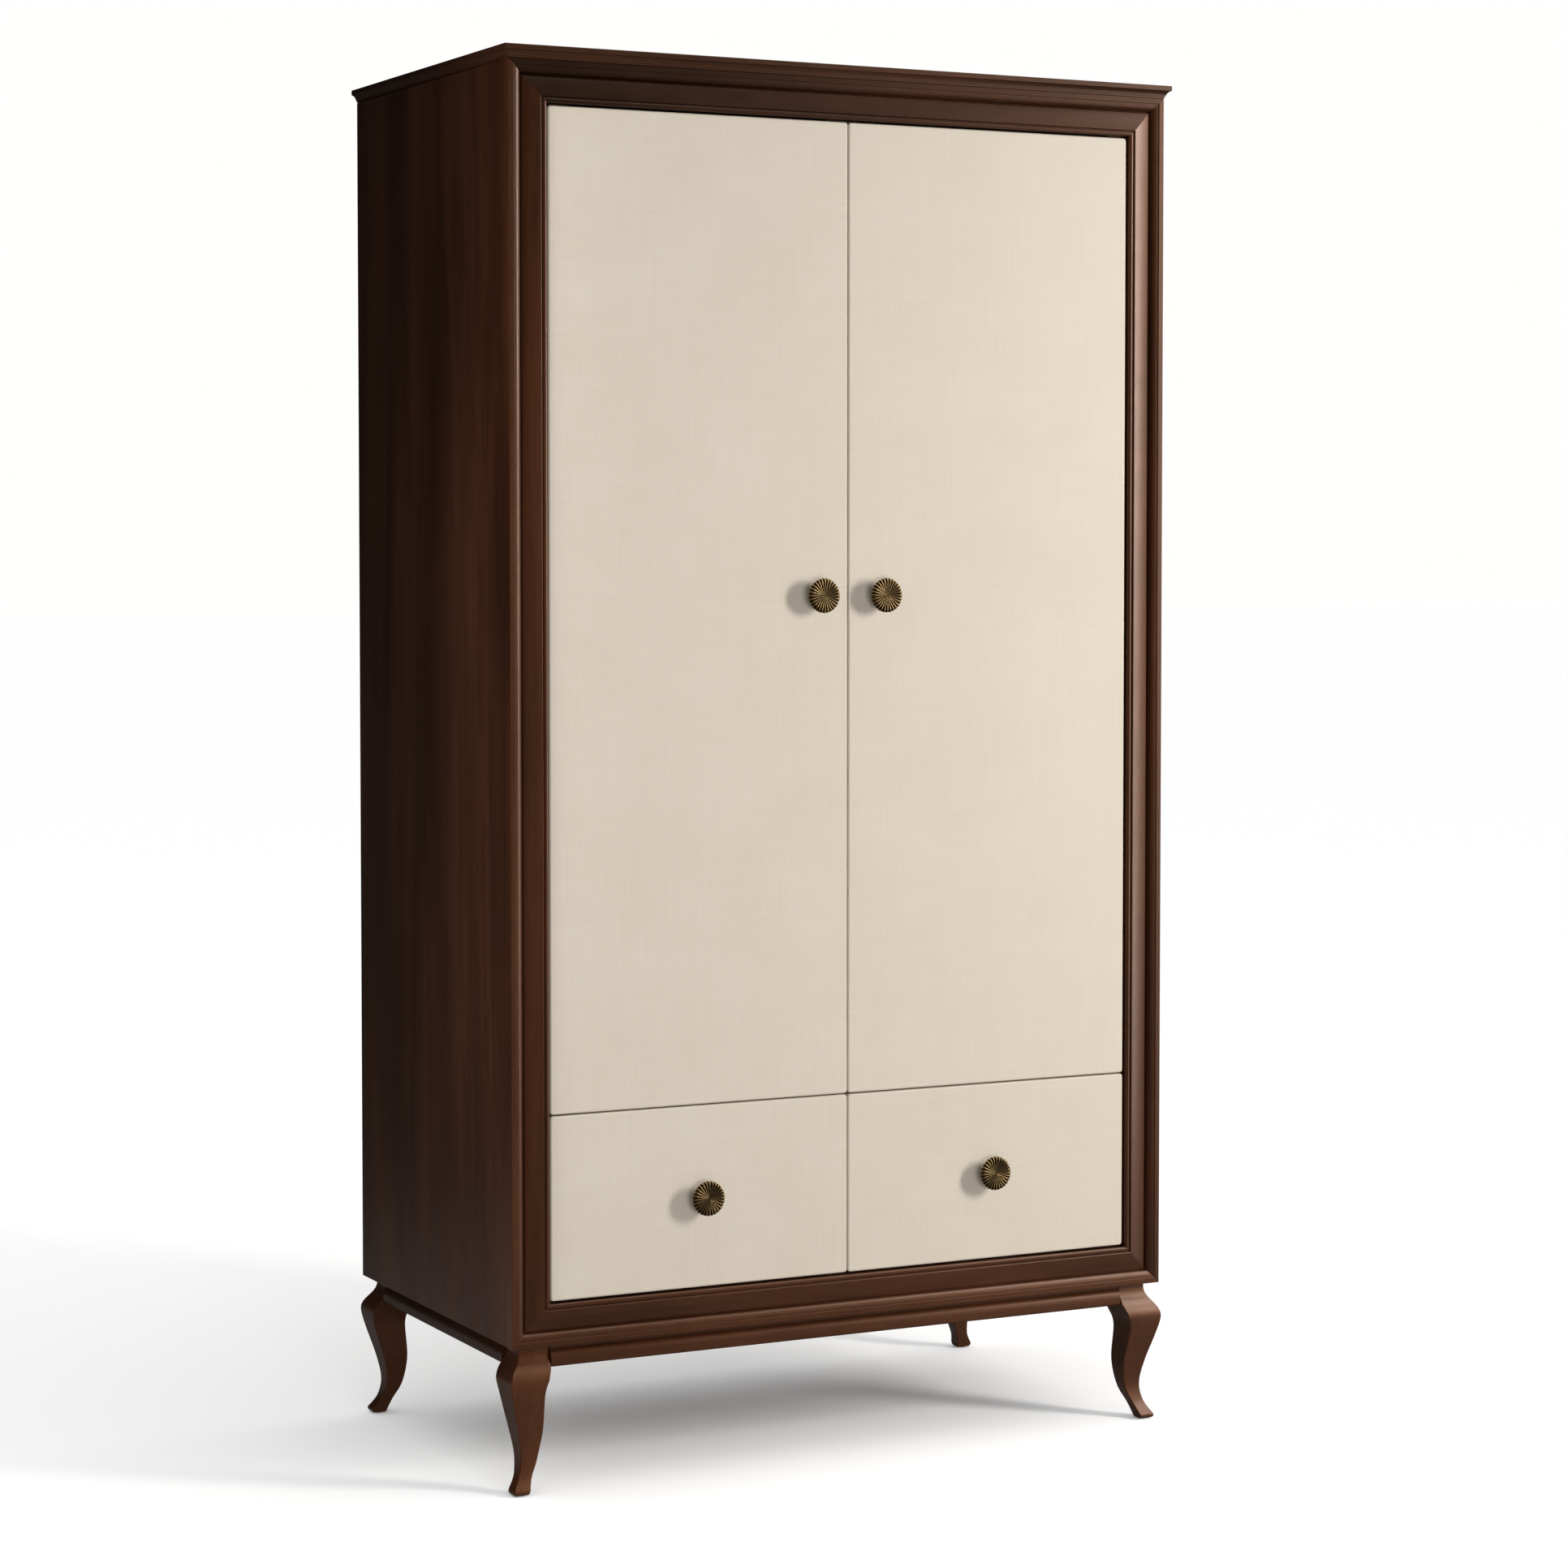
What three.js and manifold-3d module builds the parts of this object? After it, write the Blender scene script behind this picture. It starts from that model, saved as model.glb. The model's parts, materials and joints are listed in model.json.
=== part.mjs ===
// A two-door armoire over two drawers, on four square cabriole legs.
// Millimetres. +Z is up, the front faces -Y, and the origin is on the floor
// under the middle of the whole piece.

import * as THREE from 'three';
import { mergeVertices } from 'three/addons/utils/BufferGeometryUtils.js';
import Module from 'manifold-3d';

const wasm = await Module();
wasm.setup();

// ---------------------------------------------------------------- dimensions

const HEIGHT = 2100;            // floor to the top of the cornice
const WIDTH = 1106;             // over the side panels
const DEPTH = 621;              // face frame to the rear edge of the sides
const UNDERSIDE = 218;          // floor to the underside of the carcass
const CASE_TOP = 2081;          // floor to the top of the sides and face frame
const OVERHANG = 9;             // how far the cornice stands proud

const SIDE = 22;                // side panel thickness
const SHELF = 20;               // thickness of the horizontal boards
const FIT = 0.2;                // slack in a glued or screwed joint
const RUN = 1.2;                // slack beside and under a sliding drawer

const FRAME_FACE = 61;          // width of the moulded face frame
const FRAME_THICK = 24;         // its thickness, front to back

const DOOR_GAP = 3;             // reveal between the face frame and the doors and drawer fronts
const MEETING_GAP = 1.6;        // between the two doors, and between the two drawer fronts
const LINE_GAP = 2;             // between a door and the drawer front under it
const DOOR_RECESS = 7.4;        // door face behind the face frame
const DOOR_THICK = 24;
const DRAWER_FRONT_THICK = 22;
const DOOR_LINE = 554.5;        // middle of the gap between doors and drawers
const CORNER_RADIUS = 5;        // corners of a door or drawer front
const EDGE_RADIUS = 2.5;        // its softened edges

const KNOB_RADIUS = 26;
const KNOB_LENGTH = 27.4;       // door face to the foremost ring of the knob
const DOOR_KNOB_X = 53;
const DOOR_KNOB_Z = 1309;

const KNEE_OUT = 2.8;           // how far a knee stands proud of the case
const NECK_INSET = 17.2;        // neck of the leg and the apron, behind the case face
const LEG_BLOCK = 64.3;         // case face to the inner side of a leg's top

const DECK_Z = 544.5;           // underside of the board between doors and drawers
const BOTTOM_Z = UNDERSIDE + FRAME_FACE;   // running surface of the drawers
const HAT_SHELF_Z = 1760;       // underside of the hat shelf
const HANGING_RAIL_Z = 1690;
const HANGING_RAIL_RADIUS = 15;

const PIVOT_FROM_EDGE = 21;     // hinge pin to the door's edge
const PIVOT_FROM_FACE = 12;     // hinge pin to the door's face
const PIN_RADIUS = 3;
const SWING = 24.5;             // hinge pin to anything that an opening door has to clear
const HINGE_METAL = 1.6;
const HINGE_WIDTH = 14;

const DRAWER_SIDE = 12;
const DRAWER_LENGTH = 540;      // behind the drawer front
const DRAWER_HEIGHT = 250;

// The knobs stand proud in front and the knees behind, so the face frame is
// placed where the middle of the whole depth comes to Y = 0.
const KNOB_PROUD = KNOB_LENGTH - DOOR_RECESS;
const FRONT = -(DEPTH + KNEE_OUT - KNOB_PROUD) / 2;
const BACK = FRONT + DEPTH;
const HALF = WIDTH / 2;
const INSIDE = HALF - SIDE - FIT;              // half the clear inside width
const OPENING = HALF - FRAME_FACE;             // half the opening in the face frame
const DOOR_OUTER = OPENING - DOOR_GAP;         // hinge edge of a door
const DOOR_INNER = MEETING_GAP / 2;            // meeting edge of a door
const DOOR_TOP = CASE_TOP - FRAME_FACE - DOOR_GAP;
const DOOR_BOTTOM = DOOR_LINE + LINE_GAP / 2;
const DRAWER_TOP = DOOR_LINE - LINE_GAP / 2;
const DRAWER_BOTTOM = BOTTOM_Z + DOOR_GAP;
const DOOR_FACE_Y = FRONT + DOOR_RECESS;
const DOOR_BACK_Y = DOOR_FACE_Y + DOOR_THICK;
const INNER_FRONT_Y = DOOR_BACK_Y + 0.6;       // front edge of the inner boards
const BACK_PANEL_Y = BACK - 14;                // front face of the back panels
const PIVOT_X = DOOR_OUTER - PIVOT_FROM_EDGE;
const PIVOT_Y = DOOR_FACE_Y + PIVOT_FROM_FACE;

// ----------------------------------------------------------------- materials

const finish = (color, roughness, metalness) =>
  new THREE.MeshStandardMaterial({ color, roughness, metalness });

const darkWood = finish(0x3b2114, 0.35, 0);
const innerWood = finish(0x8a6544, 0.6, 0);
const drawerWood = finish(0xc7a173, 0.65, 0);
const linenPaint = finish(0xd9ccb8, 0.6, 0);
const brass = finish(0x8d6f3f, 0.4, 1);
const steel = finish(0x9a9894, 0.4, 1);
const catchPlastic = finish(0x6b5a48, 0.5, 0);

const armoire = new THREE.Group();

function add(name, geometry, material) {
  const mesh = new THREE.Mesh(geometry, material);
  mesh.name = name;
  armoire.add(mesh);
  return mesh;
}

// ------------------------------------------------------------- shape helpers

// A box between two corners.
function slab(x0, x1, y0, y1, z0, z1) {
  const box = new THREE.BoxGeometry(x1 - x0, y1 - y0, z1 - z0);
  return box.translate((x0 + x1) / 2, (y0 + y1) / 2, (z0 + z1) / 2);
}

// The same box on the left (side -1) or the right (side +1) of the middle.
function sideSlab(side, inner, outer, y0, y1, z0, z1) {
  return side < 0 ? slab(-outer, -inner, y0, y1, z0, z1) : slab(inner, outer, y0, y1, z0, z1);
}

function upright(radius, x, y, z0, z1, sides) {
  const post = new THREE.CylinderGeometry(radius, radius, z1 - z0, sides);
  return post.rotateX(Math.PI / 2).translate(x, y, (z0 + z1) / 2);
}

function toManifold(geometry) {
  const bare = geometry.clone();
  bare.deleteAttribute('normal');
  bare.deleteAttribute('uv');
  const merged = mergeVertices(bare, 1e-4);
  return new wasm.Manifold(new wasm.Mesh({
    numProp: 3,
    vertProperties: new Float32Array(merged.attributes.position.array),
    triVerts: new Uint32Array(merged.index.array),
  }));
}

function fromManifold(solid) {
  const mesh = solid.getMesh();
  const geometry = new THREE.BufferGeometry();
  geometry.setAttribute('position', new THREE.BufferAttribute(mesh.vertProperties, 3));
  geometry.setIndex(new THREE.BufferAttribute(mesh.triVerts, 1));
  return geometry;
}

function join(...geometries) {
  return fromManifold(geometries.map(toManifold).reduce((a, b) => a.add(b)));
}

function cut(geometry, ...tools) {
  return fromManifold(tools.map(toManifold).reduce((a, b) => a.subtract(b), toManifold(geometry)));
}

// A moulding: an outline in (x, y) run along z from 0 to length. A mitre slopes
// an end by 45 degrees: +1 shortens the run where x is greater, -1 lengthens it.
function moulding(outline, length, startMitre, endMitre, segments = 6) {
  const run = new THREE.ExtrudeGeometry(outline, {
    depth: length,
    bevelEnabled: false,
    curveSegments: segments,
  });
  const points = run.attributes.position;
  for (let i = 0; i < points.count; i += 1) {
    const across = points.getX(i);
    const atStart = points.getZ(i) < length / 2;
    const z = atStart
      ? FIT / 2 + startMitre * across
      : length - FIT / 2 - endMitre * across;
    points.setZ(i, z);
  }
  return run;
}

// Turns a moulding so that its x, y and z point along three world directions.
function lay(geometry, xAxis, yAxis, zAxis, origin) {
  const turn = new THREE.Matrix4().makeBasis(
    new THREE.Vector3(...xAxis),
    new THREE.Vector3(...yAxis),
    new THREE.Vector3(...zAxis),
  );
  turn.setPosition(...origin);
  return geometry.applyMatrix4(turn);
}

// ---------------------------------------------------------- boards of the case

for (const [name, side] of [['left', -1], ['right', 1]]) {
  add(`side_panel_${name}`,
    sideSlab(side, HALF - SIDE, HALF, FRONT + FRAME_THICK + FIT, BACK, UNDERSIDE, CASE_TOP - FIT),
    darkWood);
}

const frameBackY = FRONT + FRAME_THICK + FIT;
const shelfBackY = BACK_PANEL_Y - FIT;

add('top_board',
  slab(-INSIDE, INSIDE, frameBackY, BACK, CASE_TOP - SHELF - FIT, CASE_TOP - FIT), innerWood);
add('bottom_board',
  slab(-INSIDE, INSIDE, frameBackY, shelfBackY, BOTTOM_Z - SHELF, BOTTOM_Z), innerWood);
add('base_board',
  slab(-INSIDE, INSIDE, frameBackY, BACK - FIT, UNDERSIDE, UNDERSIDE + SHELF), innerWood);

// The deck is notched at its front corners, where the heel of a door swings in.
const deckNotch = (side) => sideSlab(side, PIVOT_X - SWING, INSIDE + 1,
  INNER_FRONT_Y - 1, PIVOT_Y + SWING, DECK_Z - 1, DECK_Z + SHELF + 1);
add('drawer_deck',
  cut(slab(-INSIDE, INSIDE, INNER_FRONT_Y, shelfBackY, DECK_Z, DECK_Z + SHELF),
    deckNotch(-1), deckNotch(1)),
  innerWood);

add('drawer_partition',
  slab(-SHELF / 2, SHELF / 2, INNER_FRONT_Y, shelfBackY, BOTTOM_Z + FIT, DECK_Z - FIT), innerWood);
add('hat_shelf',
  slab(-INSIDE, INSIDE, FRONT + 60, shelfBackY, HAT_SHELF_Z, HAT_SHELF_Z + SHELF), innerWood);

for (const [name, side] of [['left', -1], ['right', 1]]) {
  add(`shelf_cleat_${name}`,
    sideSlab(side, INSIDE - SHELF, INSIDE, FRONT + 80, shelfBackY - 40,
      HAT_SHELF_Z - FIT - SHELF, HAT_SHELF_Z - FIT),
    innerWood);
  add(`drawer_guide_${name}`,
    sideSlab(side, DOOR_OUTER - 2 + RUN, INSIDE, INNER_FRONT_Y, shelfBackY,
      BOTTOM_Z + FIT, BOTTOM_Z + SHELF),
    innerWood);
}

// The back: a muntin down the middle and a thin panel on each side of it, standing
// on the base board.
const BACK_FOOT = UNDERSIDE + SHELF + FIT;
const MUNTIN_HALF = 32;
const PANEL_THICK = 6;
add('back_muntin',
  slab(-MUNTIN_HALF, MUNTIN_HALF, BACK_PANEL_Y, BACK - 1,
    BACK_FOOT, CASE_TOP - SHELF - 2 * FIT),
  innerWood);
for (const [name, side] of [['left', -1], ['right', 1]]) {
  add(`back_panel_${name}`,
    sideSlab(side, MUNTIN_HALF + FIT, INSIDE, BACK_PANEL_Y, BACK_PANEL_Y + PANEL_THICK,
      BACK_FOOT, CASE_TOP - SHELF - 2 * FIT),
    innerWood);
}

// ------------------------------------------------------------- the face frame

// Outline of the face frame: x runs from its outer edge to the opening, y back
// from its front plane. A flat fillet, a round falling to a valley, a steep
// crest, a broad face rising towards the opening, a quirk and a rounded lip.
function frameOutline() {
  const s = new THREE.Shape();
  s.moveTo(0, FRAME_THICK);
  s.lineTo(0, 1.2);
  s.quadraticCurveTo(0, 0, 1.2, 0);
  s.lineTo(8.2, 0);
  s.quadraticCurveTo(8.9, 0, 9, 1.2);
  s.bezierCurveTo(18, 1.3, 21, 3.2, 21.2, 10.8);
  s.quadraticCurveTo(21.6, 11.6, 22.2, 11.3);
  s.bezierCurveTo(22.6, 9.4, 23, 8.6, 24, 8);
  s.bezierCurveTo(33, 4.8, 43, 2.8, 51, 1.8);
  s.quadraticCurveTo(52.3, 1.9, 52.9, 4.2);
  s.lineTo(53.6, 4.2);
  s.bezierCurveTo(54.3, 1.2, 60.8, 1.4, FRAME_FACE, 5);
  s.lineTo(FRAME_FACE, FRAME_THICK);
  s.closePath();
  return s;
}

const stileLength = CASE_TOP - UNDERSIDE;
add('frame_stile_left',
  lay(moulding(frameOutline(), stileLength, 1, 1),
    [1, 0, 0], [0, 1, 0], [0, 0, 1], [-HALF, FRONT, UNDERSIDE]),
  darkWood);
add('frame_stile_right',
  lay(moulding(frameOutline(), stileLength, 1, 1),
    [-1, 0, 0], [0, 1, 0], [0, 0, -1], [HALF, FRONT, CASE_TOP]),
  darkWood);
add('frame_rail_top',
  lay(moulding(frameOutline(), WIDTH, 1, 1),
    [0, 0, -1], [0, 1, 0], [1, 0, 0], [-HALF, FRONT, CASE_TOP]),
  darkWood);
add('frame_rail_bottom',
  lay(moulding(frameOutline(), WIDTH, 1, 1),
    [0, 0, 1], [0, 1, 0], [-1, 0, 0], [HALF, FRONT, UNDERSIDE]),
  darkWood);

// ---------------------------------------------------------------- the cornice

// Outline of the cornice: x outwards from the case face, y up from the case.
function corniceOutline() {
  const height = HEIGHT - CASE_TOP;
  const s = new THREE.Shape();
  s.moveTo(-45, FIT);
  s.lineTo(0.4, FIT);
  s.lineTo(0.4, 2.6);
  s.lineTo(1.5, 2.8);
  s.bezierCurveTo(2.6, 7.4, 5.2, 10.2, 8.1, 11);
  s.quadraticCurveTo(OVERHANG, 11.3, OVERHANG, 12.3);
  s.lineTo(OVERHANG, height - 1.6);
  s.quadraticCurveTo(OVERHANG, height, OVERHANG - 1.6, height);
  s.lineTo(-45, height);
  s.closePath();
  return s;
}

add('cornice_front',
  lay(moulding(corniceOutline(), WIDTH, -1, -1),
    [0, -1, 0], [0, 0, 1], [-1, 0, 0], [HALF, FRONT, CASE_TOP]),
  darkWood);
add('cornice_left',
  lay(moulding(corniceOutline(), DEPTH, -1, 0),
    [-1, 0, 0], [0, 0, 1], [0, 1, 0], [-HALF, FRONT, CASE_TOP]),
  darkWood);
add('cornice_right',
  lay(moulding(corniceOutline(), DEPTH, 0, -1),
    [1, 0, 0], [0, 0, 1], [0, -1, 0], [HALF, BACK, CASE_TOP]),
  darkWood);

// ------------------------------------------------------------------ the apron

const APRON_BOTTOM = 185.5;
const APRON_THICK = 20;
const APRON_END_GAP = 1.2;      // the dark line between the apron and a leg

// Outline of the apron: x outwards from the case face, y up from the floor.
function apronOutline() {
  const s = new THREE.Shape();
  s.moveTo(-NECK_INSET - APRON_THICK, APRON_BOTTOM);
  s.lineTo(-12.2, APRON_BOTTOM);
  s.quadraticCurveTo(-10, 187, -10, 189.2);
  s.lineTo(-10, 196);
  s.bezierCurveTo(-10, 202, -12.6, 207, -NECK_INSET, 211);
  s.lineTo(-NECK_INSET, UNDERSIDE - FIT);
  s.lineTo(-NECK_INSET - APRON_THICK, UNDERSIDE - FIT);
  s.closePath();
  return s;
}

const apronEnd = LEG_BLOCK + APRON_END_GAP;
const apronWidth = WIDTH - 2 * apronEnd;
const apronDepth = DEPTH - 2 * apronEnd;
add('apron_front',
  lay(moulding(apronOutline(), apronWidth, 0, 0),
    [0, -1, 0], [0, 0, 1], [-1, 0, 0], [apronWidth / 2, FRONT, 0]),
  darkWood);
add('apron_left',
  lay(moulding(apronOutline(), apronDepth, 0, 0),
    [-1, 0, 0], [0, 0, 1], [0, 1, 0], [-HALF, FRONT + apronEnd, 0]),
  darkWood);
add('apron_right',
  lay(moulding(apronOutline(), apronDepth, 0, 0),
    [1, 0, 0], [0, 0, 1], [0, -1, 0], [HALF, BACK - apronEnd, 0]),
  darkWood);
add('apron_back',
  slab(-apronWidth / 2, apronWidth / 2, BACK - NECK_INSET - APRON_THICK, BACK - NECK_INSET,
    APRON_BOTTOM, UNDERSIDE - FIT),
  darkWood);

// ------------------------------------------------------------------- the legs

// Each leg is sawn to the same curve from two sides, so its section is square
// at every height. Points are [outwards from the case face, height].
const LEG_OUTER = [
  [-NECK_INSET, UNDERSIDE - 2 * FIT], [-16.9, 206], [-12.6, 195], [0, 177], [KNEE_OUT, 162],
  [-3.2, 135], [-15.5, 91], [-21.6, 55], [-17, 27], [-5, 6],
];
const LEG_INNER = [
  [-28.5, 0], [-36.5, 22], [-48.5, 50], [-54.8, 92], [-52.4, 147], [-58.5, 171], [-LEG_BLOCK, 186],
];

function legOutline() {
  const spline = (points, steps) =>
    new THREE.SplineCurve(points.map((p) => new THREE.Vector2(...p))).getPoints(steps);
  const s = new THREE.Shape();
  s.setFromPoints(spline(LEG_OUTER, 36));
  s.quadraticCurveTo(-4.2, 0, -10, 0);
  spline(LEG_INNER, 24).forEach((p) => s.lineTo(p.x, p.y));
  s.lineTo(-LEG_BLOCK, UNDERSIDE - 2 * FIT);
  s.closePath();
  return s;
}

// The leg in the corner where +x and +y point outwards, with that corner of
// the case at the origin.
function legGeometry() {
  const reach = 80;
  const sawn = () => new THREE.ExtrudeGeometry(legOutline(), {
    depth: reach,
    bevelEnabled: false,
    curveSegments: 5,
  });
  const fromFront = lay(sawn(), [1, 0, 0], [0, 0, 1], [0, -1, 0], [0, KNEE_OUT + 1, 0]);
  const fromSide = lay(sawn(), [0, 1, 0], [0, 0, 1], [1, 0, 0], [KNEE_OUT + 1 - reach, 0, 0]);
  return fromManifold(toManifold(fromFront).intersect(toManifold(fromSide)));
}

const leg = legGeometry();
for (const [name, x, y, quarterTurns] of [
  ['leg_back_right', HALF, BACK, 0],
  ['leg_back_left', -HALF, BACK, 1],
  ['leg_front_left', -HALF, FRONT, 2],
  ['leg_front_right', HALF, FRONT, 3],
]) {
  const mesh = add(name, leg, darkWood);
  mesh.rotation.z = quarterTurns * Math.PI / 2;
  mesh.position.set(x, y, 0);
}

// ---------------------------------------------------- doors and drawer fronts

// A panel with rounded corners and softened edges, standing in the XZ plane.
function frontPanel(x0, x1, z0, z1, faceY, thickness) {
  const r = CORNER_RADIUS - EDGE_RADIUS;
  const [a, b] = [x0 + EDGE_RADIUS, x1 - EDGE_RADIUS];
  const [c, d] = [z0 + EDGE_RADIUS, z1 - EDGE_RADIUS];
  const s = new THREE.Shape();
  s.moveTo(a + r, c);
  s.lineTo(b - r, c);
  s.absarc(b - r, c + r, r, -Math.PI / 2, 0, false);
  s.lineTo(b, d - r);
  s.absarc(b - r, d - r, r, 0, Math.PI / 2, false);
  s.lineTo(a + r, d);
  s.absarc(a + r, d - r, r, Math.PI / 2, Math.PI, false);
  s.lineTo(a, c + r);
  s.absarc(a + r, c + r, r, Math.PI, Math.PI * 1.5, false);
  const panel = new THREE.ExtrudeGeometry(s, {
    depth: thickness - 2 * EDGE_RADIUS,
    bevelEnabled: true,
    bevelThickness: EDGE_RADIUS,
    bevelSize: EDGE_RADIUS,
    bevelSegments: 3,
    curveSegments: 3,
  });
  return lay(panel, [1, 0, 0], [0, 0, 1], [0, -1, 0], [0, faceY + thickness - EDGE_RADIUS, 0]);
}

const LEAF_FROM = 16;           // the leaf let into a door, either side of the pin
const LEAF_TO = 28;
const LEAF_HALF_WIDTH = 6;
const SOCKET_DEPTH = 12;        // how deep the pin reaches into the door
const FOOT_METAL = 1.8;         // the foot that carries a door's bottom pin
const FOOT_ABOVE_LINE = 0.3;
const FOOT_REACH = 12;          // pin to the foot's inner end
const FOOT_SLACK = 0.7;         // round the foot, in the drawer front's notch

// The leaf let into the top (up +1) or bottom (up -1) edge of a door.
function hingeLeaf(side, up, slack) {
  const [outer, inner] = [PIVOT_X + LEAF_FROM + slack, PIVOT_X - LEAF_TO - slack];
  const half = LEAF_HALF_WIDTH + slack;
  const edge = up > 0 ? DOOR_TOP : DOOR_BOTTOM;
  const buried = edge - up * (HINGE_METAL + slack);
  const flush = edge + up * (slack > 0 ? 1 : 0);
  return sideSlab(side, inner, outer, PIVOT_Y - half, PIVOT_Y + half,
    Math.min(buried, flush), Math.max(buried, flush));
}

function pinHole(side, up) {
  const edge = up > 0 ? DOOR_TOP : DOOR_BOTTOM;
  const deep = edge - up * (SOCKET_DEPTH + 1.5);
  return upright(PIN_RADIUS + 0.6, side * PIVOT_X, PIVOT_Y,
    Math.min(deep, edge + up * 2), Math.max(deep, edge + up * 2), 20);
}

for (const [name, side] of [['left', -1], ['right', 1]]) {
  const [x0, x1] = side < 0 ? [-DOOR_OUTER, -DOOR_INNER] : [DOOR_INNER, DOOR_OUTER];
  const blank = frontPanel(x0, x1, DOOR_BOTTOM, DOOR_TOP, DOOR_FACE_Y, DOOR_THICK);
  add(`door_${name}`,
    cut(blank, hingeLeaf(side, 1, FIT), hingeLeaf(side, -1, FIT),
      pinHole(side, 1), pinHole(side, -1)),
    linenPaint);
  add(`hinge_leaf_top_${name}`, cut(hingeLeaf(side, 1, 0), pinHole(side, 1)), brass);
  add(`hinge_leaf_bottom_${name}`, cut(hingeLeaf(side, -1, 0), pinHole(side, -1)), brass);
}

// ------------------------------------------- fixed halves of the pivot hinges

for (const [name, side] of [['left', -1], ['right', 1]]) {
  const [y0, y1] = [PIVOT_Y - HINGE_WIDTH / 2, PIVOT_Y + HINGE_WIDTH / 2];
  const [inner, outer] = [PIVOT_X - FOOT_REACH, OPENING - FIT];
  const pinX = side * PIVOT_X;

  // Above: a plate under the top rail, with the pin pointing down.
  const plateTop = CASE_TOP - FRAME_FACE - FIT;
  add(`hinge_plate_top_${name}`,
    join(sideSlab(side, inner, outer, y0, y1, plateTop - HINGE_METAL, plateTop),
      upright(PIN_RADIUS, pinX, PIVOT_Y, DOOR_TOP - SOCKET_DEPTH, plateTop - 0.5, 20)),
    brass);

  // Below: an angle on the stile, its foot under the door, in a notch of the drawer front.
  const footTop = DOOR_LINE + FOOT_ABOVE_LINE;
  const footBottom = footTop - FOOT_METAL;
  add(`hinge_bracket_bottom_${name}`,
    join(sideSlab(side, inner, outer, y0, y1, footBottom, footTop),
      sideSlab(side, outer - 1.8, outer, y0, y1, DOOR_LINE - 38, footTop),
      upright(PIN_RADIUS, pinX, PIVOT_Y, footBottom + 0.5, DOOR_BOTTOM + SOCKET_DEPTH, 20)),
    brass);
}

// --------------------------------------------------- catch at the top of doors

const STRIKE_THICK = 0.9;
const CATCH_HALF = 24;
const catchFaceY = DOOR_BACK_Y + FIT + STRIKE_THICK + 0.5;
add('magnetic_catch',
  join(slab(-CATCH_HALF, CATCH_HALF, catchFaceY, catchFaceY + 14, DOOR_TOP - 26, DOOR_TOP + 30),
    slab(-CATCH_HALF, CATCH_HALF, frameBackY, catchFaceY + 7, DOOR_TOP + 8, DOOR_TOP + 30)),
  catchPlastic);
for (const [name, side] of [['left', -1], ['right', 1]]) {
  add(`strike_plate_${name}`,
    sideSlab(side, 6, CATCH_HALF, DOOR_BACK_Y + FIT, DOOR_BACK_Y + FIT + STRIKE_THICK,
      DOOR_TOP - 22, DOOR_TOP - 6),
    steel);
}

// ------------------------------------------------------------------- drawers

for (const [name, side] of [['left', -1], ['right', 1]]) {
  const boxOuter = DOOR_OUTER - 2;
  const boxInner = SHELF / 2 + RUN;
  const frontBackY = DOOR_FACE_Y + DRAWER_FRONT_THICK;
  const [y0, y1] = [frontBackY + FIT, frontBackY + DRAWER_LENGTH];
  const z0 = BOTTOM_Z + 1;
  const z1 = z0 + DRAWER_HEIGHT;
  const [x0, x1] = side < 0 ? [-DOOR_OUTER, -DOOR_INNER] : [DOOR_INNER, DOOR_OUTER];

  // Its top edge is notched from behind, where the foot of the door's hinge lies.
  const footNotch = sideSlab(side, PIVOT_X - FOOT_REACH - FOOT_SLACK, DOOR_OUTER + 1,
    PIVOT_Y - HINGE_WIDTH / 2 - FOOT_SLACK, frontBackY + 1,
    DOOR_LINE + FOOT_ABOVE_LINE - FOOT_METAL - FOOT_SLACK, DRAWER_TOP + 1);
  add(`drawer_front_${name}`,
    cut(frontPanel(x0, x1, DRAWER_BOTTOM, DRAWER_TOP, DOOR_FACE_Y, DRAWER_FRONT_THICK), footNotch),
    linenPaint);
  add(`drawer_outer_side_${name}`,
    sideSlab(side, boxOuter - DRAWER_SIDE, boxOuter, y0, y1, z0, z1), drawerWood);
  add(`drawer_inner_side_${name}`,
    sideSlab(side, boxInner, boxInner + DRAWER_SIDE, y0, y1, z0, z1), drawerWood);

  const [inner, outer] = [boxInner + DRAWER_SIDE + FIT, boxOuter - DRAWER_SIDE - FIT];
  const bottomZ = z0 + 10;
  add(`drawer_back_${name}`,
    sideSlab(side, inner, outer, y1 - DRAWER_SIDE, y1, bottomZ + 6 + FIT, z1 - 12), drawerWood);
  add(`drawer_bottom_${name}`,
    sideSlab(side, inner, outer, y0, y1, bottomZ, bottomZ + 6), drawerWood);
}

// --------------------------------------------------------------------- knobs

// Outline of a knob, a slightly dished disc: [radius, distance out from the door face].
function knobOutline() {
  return [
    [0, 0], [9, 0], [9.4, 1.6], [7.6, 3], [6, 5.5], [6, 10], [8.5, 14.5], [15, 18.2],
    [22, 20.8], [25.2, 22], [KNOB_RADIUS, 23.4], [KNOB_RADIUS, 24.8], [24.6, 26.7], [21.5, KNOB_LENGTH],
    [10, 26.6], [0, 26.2],
  ].map((p) => new THREE.Vector2(...p));
}

function knob(x, z) {
  const turned = new THREE.LatheGeometry(knobOutline(), 28);
  return lay(turned, [1, 0, 0], [0, -1, 0], [0, 0, -1], [x, DOOR_FACE_Y, z]);
}

for (const [name, side] of [['left', -1], ['right', 1]]) {
  const drawerX = side * (DOOR_INNER + DOOR_OUTER) / 2;
  const drawerZ = (DRAWER_BOTTOM + DRAWER_TOP) / 2;
  add(`door_knob_${name}`, knob(side * DOOR_KNOB_X, DOOR_KNOB_Z), brass);
  add(`drawer_knob_${name}`, knob(drawerX, drawerZ), brass);
}

// -------------------------------------------------------------- hanging rail

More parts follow.
